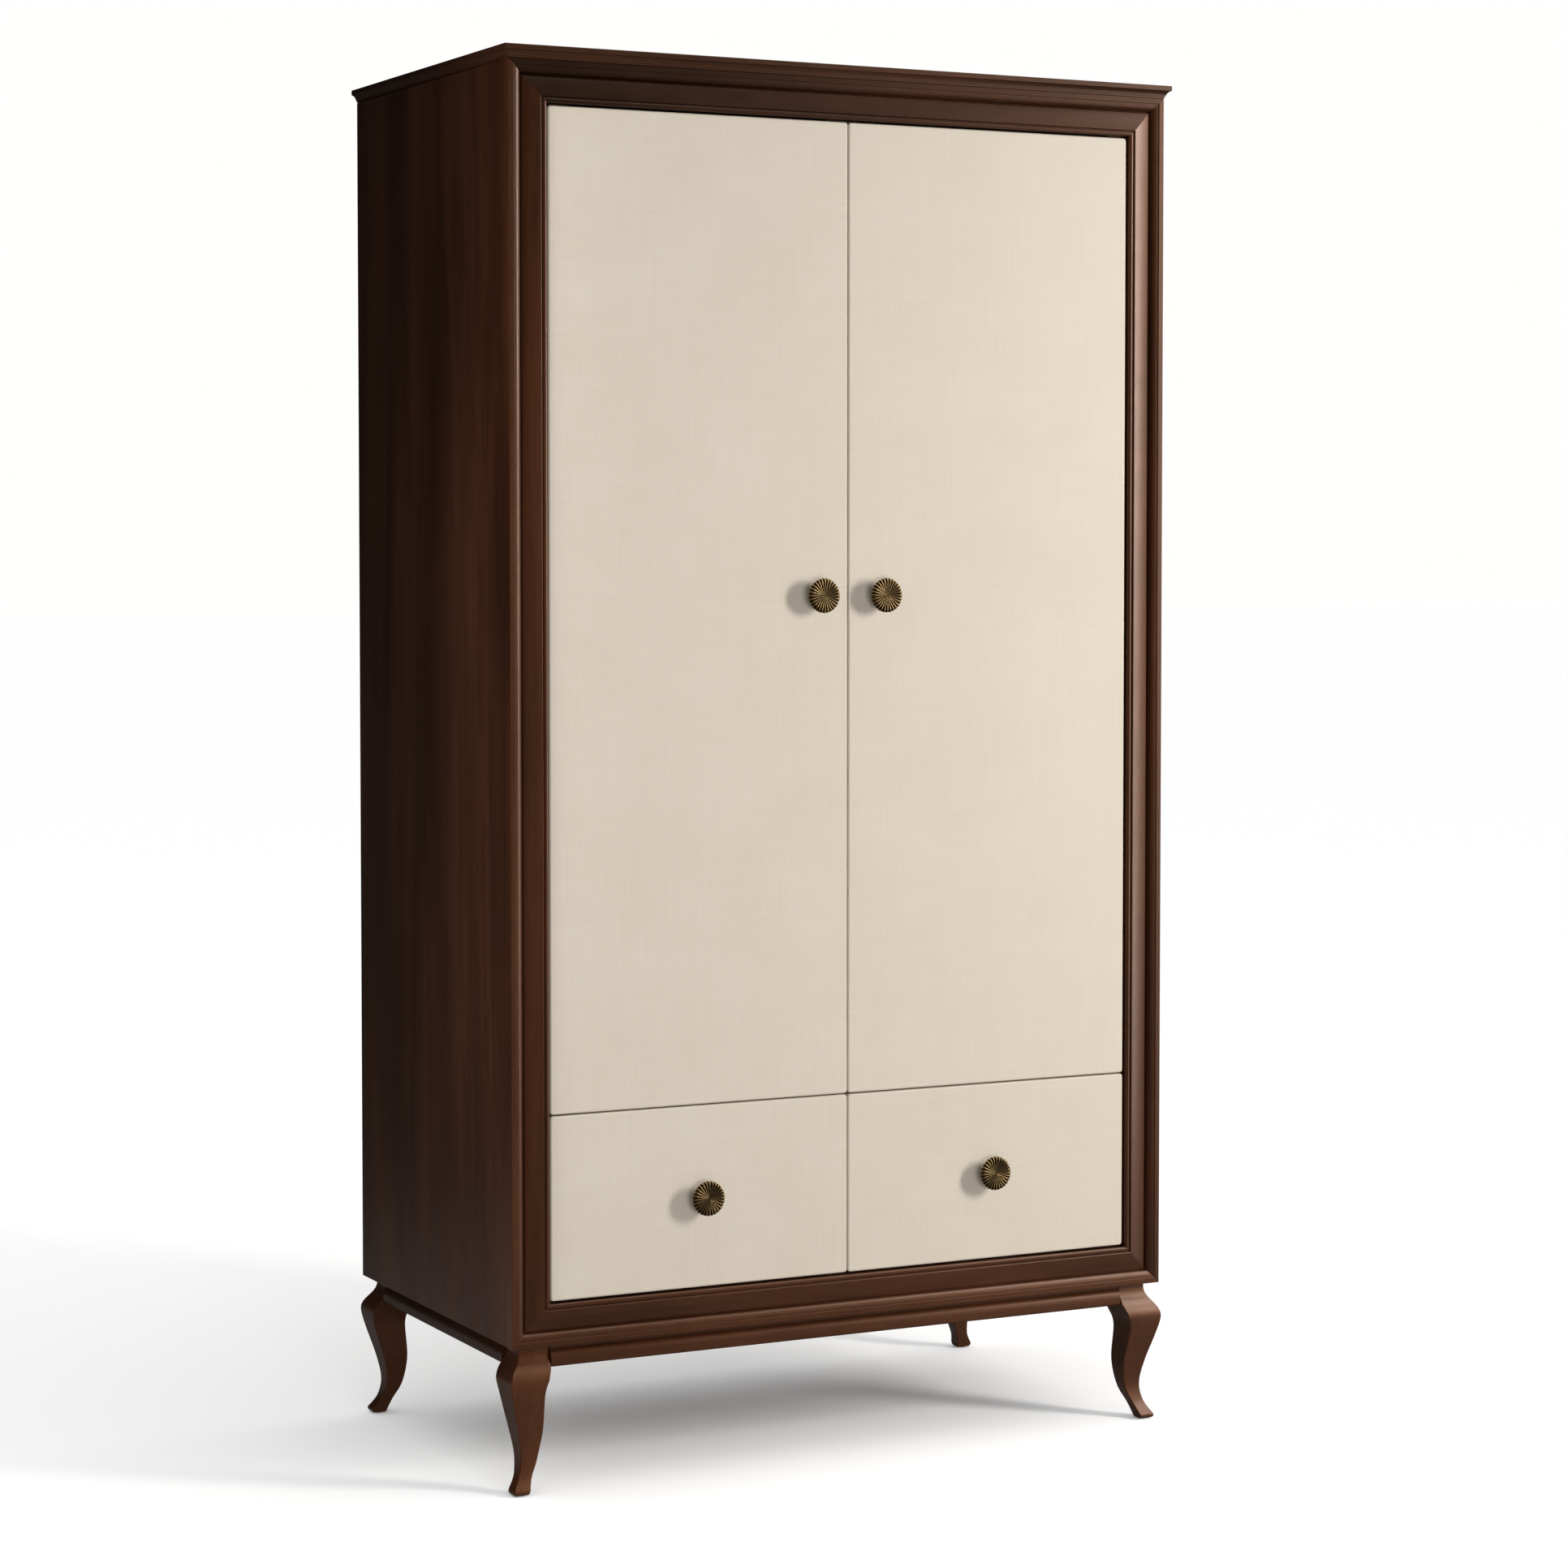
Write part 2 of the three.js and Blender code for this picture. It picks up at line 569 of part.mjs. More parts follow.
const railY = (DOOR_BACK_Y + BACK_PANEL_Y) / 2;
const SOCKET_FLANGE = 4;

function railSocket(side) {
  const bore = HANGING_RAIL_RADIUS + 0.4;
  const profile = [
    [0, 0], [27, 0], [27, 2.5], [25, SOCKET_FLANGE], [20, SOCKET_FLANGE], [19, 16],
    [bore, 16], [bore, SOCKET_FLANGE], [0, SOCKET_FLANGE],
  ].map((p) => new THREE.Vector2(...p));
  const cup = new THREE.LatheGeometry(profile, 32);
  const inwards = -side;
  return lay(cup, [0, 0, inwards], [inwards, 0, 0], [0, 1, 0],
    [side * INSIDE, railY, HANGING_RAIL_Z]);
}

for (const [name, side] of [['left', -1], ['right', 1]]) {
  add(`rail_socket_${name}`, railSocket(side), brass);
}

const railLength = 2 * (INSIDE - SOCKET_FLANGE - FIT);
const rail = new THREE.CylinderGeometry(HANGING_RAIL_RADIUS, HANGING_RAIL_RADIUS, railLength, 32);
rail.rotateZ(Math.PI / 2);
rail.translate(0, railY, HANGING_RAIL_Z);
add('hanging_rail', rail, brass);

export default armoire;
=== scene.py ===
"""The looks of a two-door armoire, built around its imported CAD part.

Metres. +Z is up, the front faces -Y, and the origin is on the floor under the middle.
Outlines are in millimetres, as a joiner draws them, and MM turns them into metres.
"""

import json
import math
import random

import bmesh
import bpy
from mathutils import Matrix, Vector

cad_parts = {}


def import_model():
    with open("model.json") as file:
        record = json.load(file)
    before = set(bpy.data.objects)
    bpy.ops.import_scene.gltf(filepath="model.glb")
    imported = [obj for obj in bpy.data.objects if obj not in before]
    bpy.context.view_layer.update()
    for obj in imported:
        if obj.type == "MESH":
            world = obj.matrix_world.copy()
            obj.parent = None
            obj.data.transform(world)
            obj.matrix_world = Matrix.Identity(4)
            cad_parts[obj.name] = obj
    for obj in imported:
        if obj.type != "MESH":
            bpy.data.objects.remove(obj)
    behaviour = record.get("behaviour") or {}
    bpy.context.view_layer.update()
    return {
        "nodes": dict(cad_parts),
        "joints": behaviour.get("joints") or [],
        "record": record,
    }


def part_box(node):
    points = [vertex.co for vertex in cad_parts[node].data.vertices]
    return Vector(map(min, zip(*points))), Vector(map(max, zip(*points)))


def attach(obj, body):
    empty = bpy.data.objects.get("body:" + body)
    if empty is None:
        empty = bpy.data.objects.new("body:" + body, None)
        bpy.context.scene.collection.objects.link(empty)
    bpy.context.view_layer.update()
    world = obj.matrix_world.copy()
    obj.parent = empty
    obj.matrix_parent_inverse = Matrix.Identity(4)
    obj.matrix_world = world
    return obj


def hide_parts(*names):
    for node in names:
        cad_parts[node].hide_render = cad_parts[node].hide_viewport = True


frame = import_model()
MM = 0.001
SIDES = (("left", -1), ("right", 1))
draw = random.Random(11)

# ------------------------------------------------------------------ the frame's own sizes

top_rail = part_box("frame_rail_top")
bottom_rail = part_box("frame_rail_bottom")
side_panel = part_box("side_panel_left")
HALF = -side_panel[0].x
FRONT = top_rail[0].y
BACK = side_panel[1].y
UNDERSIDE = bottom_rail[0].z
CASE_TOP = top_rail[1].z
PIVOTS = {j["child"]: Vector(j["pos_m"]) for j in frame["joints"] if j["type"] == "hinge"}

# -------------------------------------------------------------------------- materials


class Net:
    """A material whose nodes are added one call at a time."""

    def __init__(self, name):
        self.material = bpy.data.materials.new(name)
        self.material.use_nodes = True
        self.tree = self.material.node_tree
        self.tree.nodes.clear()

    def add(self, kind, inputs=(), **settings):
        node = self.tree.nodes.new(kind)
        for key, value in settings.items():
            setattr(node, key, value)
        for key, value in dict(inputs).items():
            if isinstance(value, bpy.types.NodeSocket):
                self.tree.links.new(value, node.inputs[key])
            else:
                node.inputs[key].default_value = value
        return node

    def noise(self, vector, scale, detail=2.0, roughness=0.5, distortion=0.0):
        inputs = {
            "Vector": vector,
            "Scale": scale,
            "Detail": detail,
            "Roughness": roughness,
            "Distortion": distortion,
        }
        return self.add("ShaderNodeTexNoise", inputs).outputs["Fac"]

    def stretch(self, vector, scale):
        inputs = {"Vector": vector, "Scale": scale}
        return self.add("ShaderNodeMapping", inputs).outputs["Vector"]

    def math(self, operation, a, b=0.0):
        return self.add("ShaderNodeMath", {0: a, 1: b}, operation=operation).outputs[0]

    def fit(self, value, low, high, new_low=0.0, new_high=1.0):
        inputs = {0: value, 1: low, 2: high, 3: new_low, 4: new_high}
        return self.add("ShaderNodeMapRange", inputs).outputs[0]

    def ramp(self, value, stops):
        """Colours along a value: stops are (place, (red, green, blue))."""
        node = self.add("ShaderNodeValToRGB", {"Fac": value})
        band = node.color_ramp
        while len(band.elements) < len(stops):
            band.elements.new(0.5)
        for element, (place, colour) in zip(band.elements, stops):
            element.position = place
            element.color = (*colour, 1.0)
        return node.outputs["Color"]

    def mix(self, factor, a, b):
        """One colour faded into another; b is three numbers."""
        node = self.add("ShaderNodeMix", data_type="RGBA")
        factor_in, a_in, b_in = node.inputs[0], node.inputs[6], node.inputs[7]
        self.tree.links.new(factor, factor_in)
        self.tree.links.new(a, a_in)
        b_in.default_value = (*b, 1.0)
        return node.outputs[2]

    def bump(self, height, strength, distance, normal=None):
        inputs = {"Height": height, "Strength": strength, "Distance": distance}
        if normal is not None:
            inputs["Normal"] = normal
        return self.add("ShaderNodeBump", inputs).outputs["Normal"]

    def finish(self, colour, roughness, normal=None, **constants):
        shader = self.add("ShaderNodeBsdfPrincipled", {"Base Color": colour, "Roughness": roughness})
        for key, value in constants.items():
            shader.inputs[key.replace("_", " ")].default_value = value
        if normal is not None:
            self.tree.links.new(normal, shader.inputs["Normal"])
        output = self.add("ShaderNodeOutputMaterial")
        self.tree.links.new(shader.outputs["BSDF"], output.inputs["Surface"])
        return self.material

    def place(self):
        return self.add("ShaderNodeTexCoord").outputs["Object"]


# How the grain is turned so that it runs along an axis of the frame.
GRAIN_TURN = {"X": (0.0, math.pi / 2, 0.0), "Y": (math.pi / 2, 0.0, 0.0), "Z": (0.0, 0.0, 0.0)}


def grain_place(net, axis):
    """Coordinates with the grain along their Z, shifted so that each board has its own figure."""
    shift = tuple(draw.uniform(-3.0, 3.0) for _ in range(3))
    inputs = {"Vector": net.place(), "Rotation": GRAIN_TURN[axis], "Location": shift}
    return net.add("ShaderNodeMapping", inputs).outputs["Vector"]


def wood(name, axis, tones, streak, pores, roughness, bump, left_painted_shade=0.0, **constants):
    """Straight-grained wood: broad bands of tone, fine streaks, and short dark pores.

    Painted shade darkens the wood at the left of the case, fading rightwards, by the share given for the left
    end.
    """
    net = Net(name)
    place = grain_place(net, axis)
    band = net.noise(net.stretch(place, (1.0, 1.0, 0.10)), 11.0, 3.0, 0.5, 0.7)
    fibre = net.noise(net.stretch(place, (1.0, 1.0, 0.022)), 170.0, 4.0, 0.62, 0.3)
    cloud = net.noise(net.stretch(place, (1.0, 1.0, 0.45)), 5.0, 2.0)
    tone = net.math("ADD", net.math("MULTIPLY", band, 0.62), net.math("MULTIPLY", fibre, streak))
    tone = net.math("ADD", tone, net.math("MULTIPLY", cloud, 0.38 - streak * 0.5))
    colour = net.ramp(tone, tones)
    pore = net.noise(net.stretch(place, (1.0, 1.0, 0.018)), 1250.0, 1.0, 0.4)
    pore = net.fit(pore, 0.60, 0.72)
    dark = tuple(c * 0.45 for c in tones[0][1])
    colour = net.mix(net.math("MULTIPLY", pore, pores), colour, dark)
    # Painted shade: the colour darkens towards the left of the case, fading rightwards.
    if left_painted_shade:
        x = net.add("ShaderNodeSeparateXYZ", {"Vector": net.place()}).outputs["X"]
        colour = net.mix(net.fit(x, -HALF, HALF, left_painted_shade, 0.0), colour, dark)
    gloss = net.fit(net.noise(place, 26.0, 3.0), 0.3, 0.7, roughness - 0.04, roughness + 0.05)
    height = net.math("SUBTRACT", net.math("MULTIPLY", fibre, 0.6), net.math("MULTIPLY", pore, 0.8))
    return net.finish(colour, gloss, net.bump(height, bump, 0.0006), **constants)


DARK_TONES = (
    (0.30, (0.0110, 0.0030, 0.0011)),
    (0.48, (0.0270, 0.0078, 0.0027)),
    (0.62, (0.0450, 0.0140, 0.0050)),
    (0.80, (0.0720, 0.0250, 0.0100)),
)


def shaded(tones, share):
    """The same tones painted lighter or darker, partly as lit and shaded copies of one wood."""
    return tuple((place, tuple(c * share for c in colour)) for place, colour in tones)


INNER_TONES = (
    (0.30, (0.120, 0.060, 0.030)),
    (0.55, (0.210, 0.115, 0.060)),
    (0.80, (0.300, 0.175, 0.098)),
)
DRAWER_TONES = (
    (0.30, (0.400, 0.245, 0.120)),
    (0.55, (0.520, 0.345, 0.185)),
    (0.80, (0.610, 0.430, 0.250)),
)


# How much lighter or darker than DARK_TONES a board is painted. Partly this is painted light: the bottom rail
# and apron are painted lighter in place of glint, the legs in place of sheen, and the veneer partly in place
# of a reflection on the stiles' outer faces.
VENEER_SHADE = 1.6
CORNICE_SHADE = 0.7
BOTTOM_PAINTED_LIGHT = 1.2
LEG_PAINTED_SHEEN = 1.5


def dark_wood(axis, tones=DARK_TONES, fibre_shine=0.65, lacquer=0.5, left_painted_shade=0.0):
    """Stained wood under satin lacquer: its fibres shine brown, and the lacquer over them white."""
    return wood(
        "dark_wood_" + axis.lower(),
        axis,
        tones,
        streak=0.30,
        pores=0.55,
        roughness=0.44,
        bump=0.10,
        left_painted_shade=left_painted_shade,
        Specular_IOR_Level=fibre_shine,
        Specular_Tint=(1.0, 0.48, 0.24, 1.0),
        Coat_Weight=lacquer,
        Coat_Roughness=0.28,
    )


def inner_wood(axis):
    return wood("inner_wood_" + axis.lower(), axis, INNER_TONES, 0.34, 0.45, 0.55, 0.14)


def drawer_wood(axis):
    return wood("drawer_wood_" + axis.lower(), axis, DRAWER_TONES, 0.30, 0.20, 0.55, 0.10)


def linen_paint():
    """Cream lacquer over a fine plain-weave linen."""
    net = Net("linen_paint")
    place = net.place()
    thread = 0.00115
    sway = net.noise(net.stretch(place, (1.0, 1.0, 0.25)), 60.0, 2.0)
    sway = net.math("MULTIPLY", net.math("SUBTRACT", sway, 0.5), 3.0)
    split = net.add("ShaderNodeSeparateXYZ", {"Vector": place})
    turn = 2.0 * math.pi / thread
    warp = net.math("SINE", net.math("ADD", net.math("MULTIPLY", split.outputs["X"], turn), sway))
    weft = net.math("SINE", net.math("ADD", net.math("MULTIPLY", split.outputs["Z"], turn), sway))
    weave = net.math("MULTIPLY", warp, weft)
    slub_up = net.noise(net.stretch(place, (1.0, 1.0, 0.025)), 420.0, 2.0)
    slub_across = net.noise(net.stretch(place, (0.025, 1.0, 1.0)), 420.0, 2.0)
    slub = net.math("ADD", slub_up, slub_across)
    mottle = net.noise(place, 7.0, 3.0, 0.6)
    tone = net.math("ADD", net.math("MULTIPLY", slub, 0.35), net.math("MULTIPLY", mottle, 0.45))
    colour = net.ramp(
        tone,
        (
            (0.30, (0.630, 0.558, 0.458)),
            (0.58, (0.668, 0.598, 0.496)),
            (0.85, (0.704, 0.636, 0.536)),
        ),
    )
    height = net.math("ADD", net.math("MULTIPLY", weave, 0.25), net.math("MULTIPLY", slub, 0.9))
    gloss = net.fit(slub, 0.7, 1.3, 0.50, 0.60)
    return net.finish(colour, gloss, net.bump(height, 0.10, 0.0005), Sheen_Weight=0.06)


def antique_brass():
    """Brass with a brown patina left in the flutes."""
    net = Net("antique_brass")
    place = net.place()
    worn = net.add("ShaderNodeAttribute", attribute_name="worn").outputs["Fac"]
    spots = net.noise(place, 900.0, 4.0, 0.6)
    rub = net.fit(net.math("ADD", worn, net.math("MULTIPLY", spots, 0.35)), 0.25, 1.15)
    colour = net.ramp(
        rub,
        (
            (0.0, (0.030, 0.016, 0.007)),
            (0.45, (0.080, 0.046, 0.019)),
            (1.0, (0.330, 0.230, 0.105)),
        ),
    )
    gloss = net.fit(rub, 0.0, 1.0, 0.55, 0.34)
    return net.finish(colour, gloss, net.bump(spots, 0.10, 0.0002), Metallic=1.0)


def metal(name, colour, roughness, scale=500.0):
    """Plain metal with faint brushing and handling marks."""
    net = Net(name)
    place = net.place()
    marks = net.noise(net.stretch(place, (1.0, 1.0, 0.08)), scale, 3.0, 0.6)
    dark = tuple(c * 0.78 for c in colour)
    tint = net.ramp(marks, ((0.3, dark), (0.7, colour)))
    gloss = net.fit(marks, 0.3, 0.7, roughness - 0.06, roughness + 0.08)
    return net.finish(tint, gloss, net.bump(marks, 0.05, 0.0002), Metallic=1.0)


def plain(name, colour, roughness, scale, bump):
    """Moulded plastic or felt: a fine all-over texture."""
    net = Net(name)
    place = net.place()
    pits = net.noise(place, scale, 3.0, 0.7)
    dark = tuple(c * 0.8 for c in colour)
    tint = net.ramp(pits, ((0.35, dark), (0.65, colour)))
    return net.finish(tint, roughness, net.bump(pits, bump, 0.0003))


linen = linen_paint()
knob_brass = antique_brass()
hinge_brass = metal("hinge_brass", (0.30, 0.20, 0.095), 0.42)
hinge_bronze = metal("hinge_bronze", (0.055, 0.036, 0.018), 0.50)
steel = metal("steel", (0.56, 0.55, 0.53), 0.33)
catch_plastic = plain("catch_plastic", (0.120, 0.080, 0.052), 0.45, 900.0, 0.08)
felt = plain("felt", (0.050, 0.045, 0.040), 0.95, 1600.0, 0.6)

# ------------------------------------------------------------------------ shape helpers


def bezier(controls, t):
    points = list(controls)
    while len(points) > 1:
        points = [a.lerp(b, t) for a, b in zip(points, points[1:])]
    return points[0]


def outline(start, *steps, fine=10):
    """Points along an outline. A step of one point is a line, of two or three a curve."""
    points = [Vector(start)]
    for step in steps:
        controls = [points[-1]] + [Vector(p) for p in step]
        count = 1 if len(step) == 1 else fine
        points += [bezier(controls, i / count) for i in range(1, count + 1)]
    return points


def spline(points, fine):
    """A Catmull-Rom curve through the points."""
    knots = [Vector(p) for p in points]
    made = [knots[0]]
    for i in range(len(knots) - 1):
        before = knots[max(i - 1, 0)]
        a, b = knots[i], knots[i + 1]
        after = knots[min(i + 2, len(knots) - 1)]
        for k in range(1, fine + 1):
            t = k / fine
            made.append(
                0.5
                * (
                    2 * a
                    + (b - before) * t
                    + (2 * before - 5 * a + 4 * b - after) * t * t
                    + (3 * a - before - 3 * b + after) * t * t * t
                )
            )
    return made


def closed_mesh(name, points, faces):
    """A mesh with its doubled points joined and its faces turned outwards."""
    mesh = bpy.data.meshes.new(name)
    mesh.from_pydata([tuple(p) for p in points], [], faces)
    shaped = bmesh.new()
    shaped.from_mesh(mesh)
    bmesh.ops.remove_doubles(shaped, verts=shaped.verts, dist=1e-6)
    bmesh.ops.recalc_face_normals(shaped, faces=shaped.faces)
    shaped.to_mesh(mesh)
    shaped.free()
    return mesh


def add_to_scene(name, data):
    thing = bpy.data.objects.new(name, data)
    bpy.context.scene.collection.objects.link(thing)
    return thing


def make(name, points, faces, body, material, crease=35.0):
    """A closed mesh as a piece that rides on a body, its corners sharp above an angle."""
    mesh = closed_mesh(name, points, faces)
    mesh.shade_smooth()
    mesh.set_sharp_from_angle(angle=math.radians(crease))
    piece = add_to_scene(name, mesh)
    mesh.materials.append(material)
    even = piece.modifiers.new("even_normals", "WEIGHTED_NORMAL")
    even.keep_sharp = True
    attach(piece, body)
    return piece


def loft(rings, closed_ends=True):
    """Faces between rings of equal length, each a list of points round a section."""
    count = len(rings[0])
    points = [p for ring in rings for p in ring]
    faces = []
    for r in range(len(rings) - 1):
        for i in range(count):
            j = (i + 1) % count
            a, b = r * count, (r + 1) * count
            faces.append((a + i, a + j, b + j, b + i))
    if closed_ends:
        faces.append(tuple(range(count))[::-1])
        faces.append(tuple(range(len(points) - count, len(points))))
    return points, faces


def moulding(name, section, length, mitres, axes, origin, material):
    """A moulding run along its third axis, its section in mm along the first two."""
    basis = Matrix([Vector(a) for a in axes]).transposed()
    joint = 0.1 * MM
    start = [Vector((p.x * MM, p.y * MM, joint + mitres[0] * p.x * MM)) for p in section]
    end = [Vector((p.x * MM, p.y * MM, length - joint - mitres[1] * p.x * MM)) for p in section]
    rings = [[Vector(origin) + basis @ p for p in ring] for ring in (start, end)]
    points, faces = loft(rings)
    piece = make(name, points, faces, "carcass", material, crease=28.0)
    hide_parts(name)
    piece.name = name + ".fine"
    return piece


def lathe(profile, steps, centre, axis, scallop=None):
    """Points and faces of a turned shape: profile is (radius, distance) in mm."""
    turn = Vector((0.0, 0.0, 1.0)).rotation_difference(Vector(axis)).to_matrix()
    points, faces = [], []
    for radius, out in profile:
        for i in range(steps):
            angle = 2.0 * math.pi * i / steps
            r, h = (radius, out) if scallop is None else scallop(radius, out, angle)
            local = Vector((r * math.cos(angle), r * math.sin(angle), h)) * MM
            points.append(Vector(centre) + turn @ local)
    for k in range(len(profile) - 1):
        for i in range(steps):
            j = (i + 1) % steps
            faces.append((k * steps + i, k * steps + j, (k + 1) * steps + j, (k + 1) * steps + i))
    return points, faces


# -------------------------------------------------------------- face frame and cornice

FRAME = outline(
    (0, 24),
    [(0, 1.2)],
    [(0, 0), (1.2, 0)],
    [(8.2, 0)],
    [(8.9, 0), (9, 1.2)],
    [(15.5, 1.3), (20.2, 4), (21.2, 10.8)],
    [(21.6, 11.6), (22.2, 11.3)],
    [(22.6, 9.4), (23, 8.6), (24, 8)],
    [(33, 4.8), (43, 2.8), (51, 1.8)],
    [(52.3, 1.9), (52.9, 4.2)],
    [(53.6, 4.2)],
    [(54.3, 1.2), (60.8, 1.4), (61, 5)],
    [(61, 24)],
)

# The top rail carries painted shade, nearly black at its left end and fading rightwards.
rail_wood = dark_wood("X", fibre_shine=0.35, lacquer=0.35, left_painted_shade=0.95)
cornice_wood = dark_wood("X", shaded(DARK_TONES, CORNICE_SHADE), fibre_shine=0.5)
# Painted light: the bottom rail, apron and legs are painted lighter, in place of glint and sheen on their
# lacquer.
bottom_wood = dark_wood("X", shaded(DARK_TONES, BOTTOM_PAINTED_LIGHT))
leg_wood = dark_wood("Z", shaded(DARK_TONES, LEG_PAINTED_SHEEN), fibre_shine=0.9)
veneer = dark_wood("Z", shaded(DARK_TONES, VENEER_SHADE))
left_wood = dark_wood("Z")
right_wood = dark_wood("Z")

stile_length = CASE_TOP - UNDERSIDE
left_stile = moulding(
    "frame_stile_left",
    FRAME,
    stile_length,
    (1, 1),
    [(1, 0, 0), (0, 1, 0), (0, 0, 1)],
    (-HALF, FRONT, UNDERSIDE),
    left_wood,
)
right_stile = moulding(
    "frame_stile_right",
    FRAME,
    stile_length,
    (1, 1),
    [(-1, 0, 0), (0, 1, 0), (0, 0, -1)],
    (HALF, FRONT, CASE_TOP),
    right_wood,
)
# The stiles' outer faces take the lighter veneer, in part a painted reflection.
for stile in (left_stile, right_stile):
    stile.data.materials.append(veneer)
    for face in stile.data.polygons:
        if abs(face.center.x) > HALF - 0.5 * MM:
            face.material_index = 1
moulding(
    "frame_rail_top",
    FRAME,
    2 * HALF,
    (1, 1),
    [(0, 0, -1), (0, 1, 0), (1, 0, 0)],
    (-HALF, FRONT, CASE_TOP),
    rail_wood,
)
moulding(
    "frame_rail_bottom",
    FRAME,
    2 * HALF,
    (1, 1),
    [(0, 0, 1), (0, 1, 0), (-1, 0, 0)],
    (HALF, FRONT, UNDERSIDE),
    bottom_wood,
)

CORNICE = outline(
    (-45, 0.2),
    [(0.4, 0.2)],
    [(0.4, 2.6)],
    [(1.5, 2.8)],
    [(2.6, 7.4), (5.2, 10.2), (8.1, 11)],
    [(9, 11.3), (9, 12.3)],
    [(9, 17.4)],
    [(9, 19), (7.4, 19)],
    [(-45, 19)],
)
depth = BACK - FRONT
moulding(
    "cornice_front",
    CORNICE,
    2 * HALF,
    (-1, -1),
    [(0, -1, 0), (0, 0, 1), (-1, 0, 0)],
    (HALF, FRONT, CASE_TOP),
    cornice_wood,
)
cornice_side_wood = dark_wood("Y")
moulding(
    "cornice_left",
    CORNICE,
    depth,
    (-1, 0),
    [(-1, 0, 0), (0, 0, 1), (0, 1, 0)],
    (-HALF, FRONT, CASE_TOP),
    cornice_side_wood,
)
moulding(
    "cornice_right",
    CORNICE,
    depth,
    (0, -1),
    [(1, 0, 0), (0, 0, 1), (0, -1, 0)],
    (HALF, BACK, CASE_TOP),
    cornice_side_wood,
)

# ------------------------------------------------------------------------------- apron

NECK_INSET = 17.2
apron_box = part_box("apron_front")
APRON_BOTTOM = apron_box[0].z / MM
APRON_TOP = apron_box[1].z / MM
APRON = outline(
    (-NECK_INSET - 20, APRON_BOTTOM),
    [(-12.2, APRON_BOTTOM)],
    [(-10, 187), (-10, 189.2)],
    [(-10, 196)],
    [(-10, 202), (-12.6, 207), (-NECK_INSET, 211)],
    [(-NECK_INSET, APRON_TOP)],
    [(-NECK_INSET - 20, APRON_TOP)],
)
apron_half = apron_box[1].x
apron_end = HALF - apron_half
moulding(
    "apron_front",
    APRON,
    2 * apron_half,
    (0, 0),
    [(0, -1, 0), (0, 0, 1), (-1, 0, 0)],
    (apron_half, FRONT, 0),
    bottom_wood,
)
for name, side in SIDES:
    moulding(
        "apron_" + name,
        APRON,
        depth - 2 * apron_end,
        (0, 0),
        [(side, 0, 0), (0, 0, 1), (0, -side, 0)],
        (side * HALF, (FRONT if side < 0 else BACK) - side * apron_end, 0),
        cornice_side_wood,
    )

# -------------------------------------------------------------------------------- legs

LEG_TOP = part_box("leg_front_left")[1].z / MM
LEG_OUTER = [
    (-NECK_INSET, LEG_TOP),
    (-16.9, 206),
    (-12.6, 195),
    (0, 177),
    (2.8, 162),
    (-3.2, 135),
    (-15.5, 91),
    (-21.6, 55),
    (-17, 27),
    (-5, 6),
]
LEG_INNER = [
    (-28.5, 0),
    (-36.5, 22),
    (-48.5, 50),
    (-54.8, 92),
    (-52.4, 147),
    (-58.5, 171),
    (-64.3, 186),
]
GLIDE = 1.5


def across(curve, height):
    """Where a rising curve of (outwards, height) points is at a height."""
    for a, b in zip(curve, curve[1:]):
        if a.y <= height <= b.y:
            t = (height - a.y) / max(b.y - a.y, 1e-9)
            return a.x + (b.x - a.x) * t
    return curve[-1].x


def leg(name, corner, outwards):
    """A leg sawn to one curve from two sides, its four arrises eased with sandpaper."""
    outer = outline((-10, 0), [(-4.2, 0), (-5, 6)]) + spline(LEG_OUTER, 12)[::-1][1:]
    inner = spline(LEG_INNER, 12) + [Vector((-64.3, LEG_TOP))]
    easing = 1.7
    quarter = 5
    heights = [0.0, 0.25, 0.6, 1.1, 1.8, 2.8, 4.2]
    heights += [6.0 + (LEG_TOP - 6.0) * i / 96 for i in range(97)]
    rings = []
    for height in heights:
        lift = GLIDE + height * (LEG_TOP - GLIDE) / LEG_TOP
        near, far = across(inner, height), across(outer, height)
        middle, reach = (near + far) / 2, (far - near) / 2 - easing
        ring = []
        for turn in range(4):
            for step in range(quarter + 1):
                angle = (turn + step / quarter) * math.pi / 2
                corner_x = reach if turn in (0, 3) else -reach
                corner_y = reach if turn in (0, 1) else -reach
                x = middle + corner_x + easing * math.cos(angle)
                y = middle + corner_y + easing * math.sin(angle)
                ring.append(Vector((x * outwards[0], y * outwards[1], lift)) * MM + Vector(corner))
        rings.append(ring)
    points, faces = loft(rings)
    piece = make(name + ".fine", points, faces, "carcass", leg_wood, crease=50.0)
    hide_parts(name)
    middle = (across(inner, 0) + across(outer, 0)) / 2
    centre = Vector((middle * outwards[0], middle * outwards[1], 0)) * MM + Vector(corner)
    profile = [(0, 0), (6.2, 0), (6.5, 0.3), (6.5, GLIDE), (0, GLIDE)]
    points, faces = lathe(profile, 24, centre, (0, 0, 1))
    make(name + ".felt_pad", points, faces, "carcass", felt)


for fore, y, out_y in (("front", FRONT, -1), ("back", BACK, 1)):
    for name, x, out_x in (("left", -HALF, -1), ("right", HALF, 1)):
        leg(f"leg_{fore}_{name}", (x, y, 0), (out_x, out_y))

# ------------------------------------------------------------- doors and drawer fronts


PANEL_CORNER = 4.5
PANEL_EDGE = 3.0
CORNER_STEPS = 6
LEAF_SLACK = 0.2
PAST_FACE = 1
HOLE_LEAD = 2
PIN_HOLE = [(0, 0), (3.6, 0), (3.6, 15.5), (0, 15.5)]
NOTCH_SLACK = 0.7
NOTCH_BELOW_LINE = 2.2


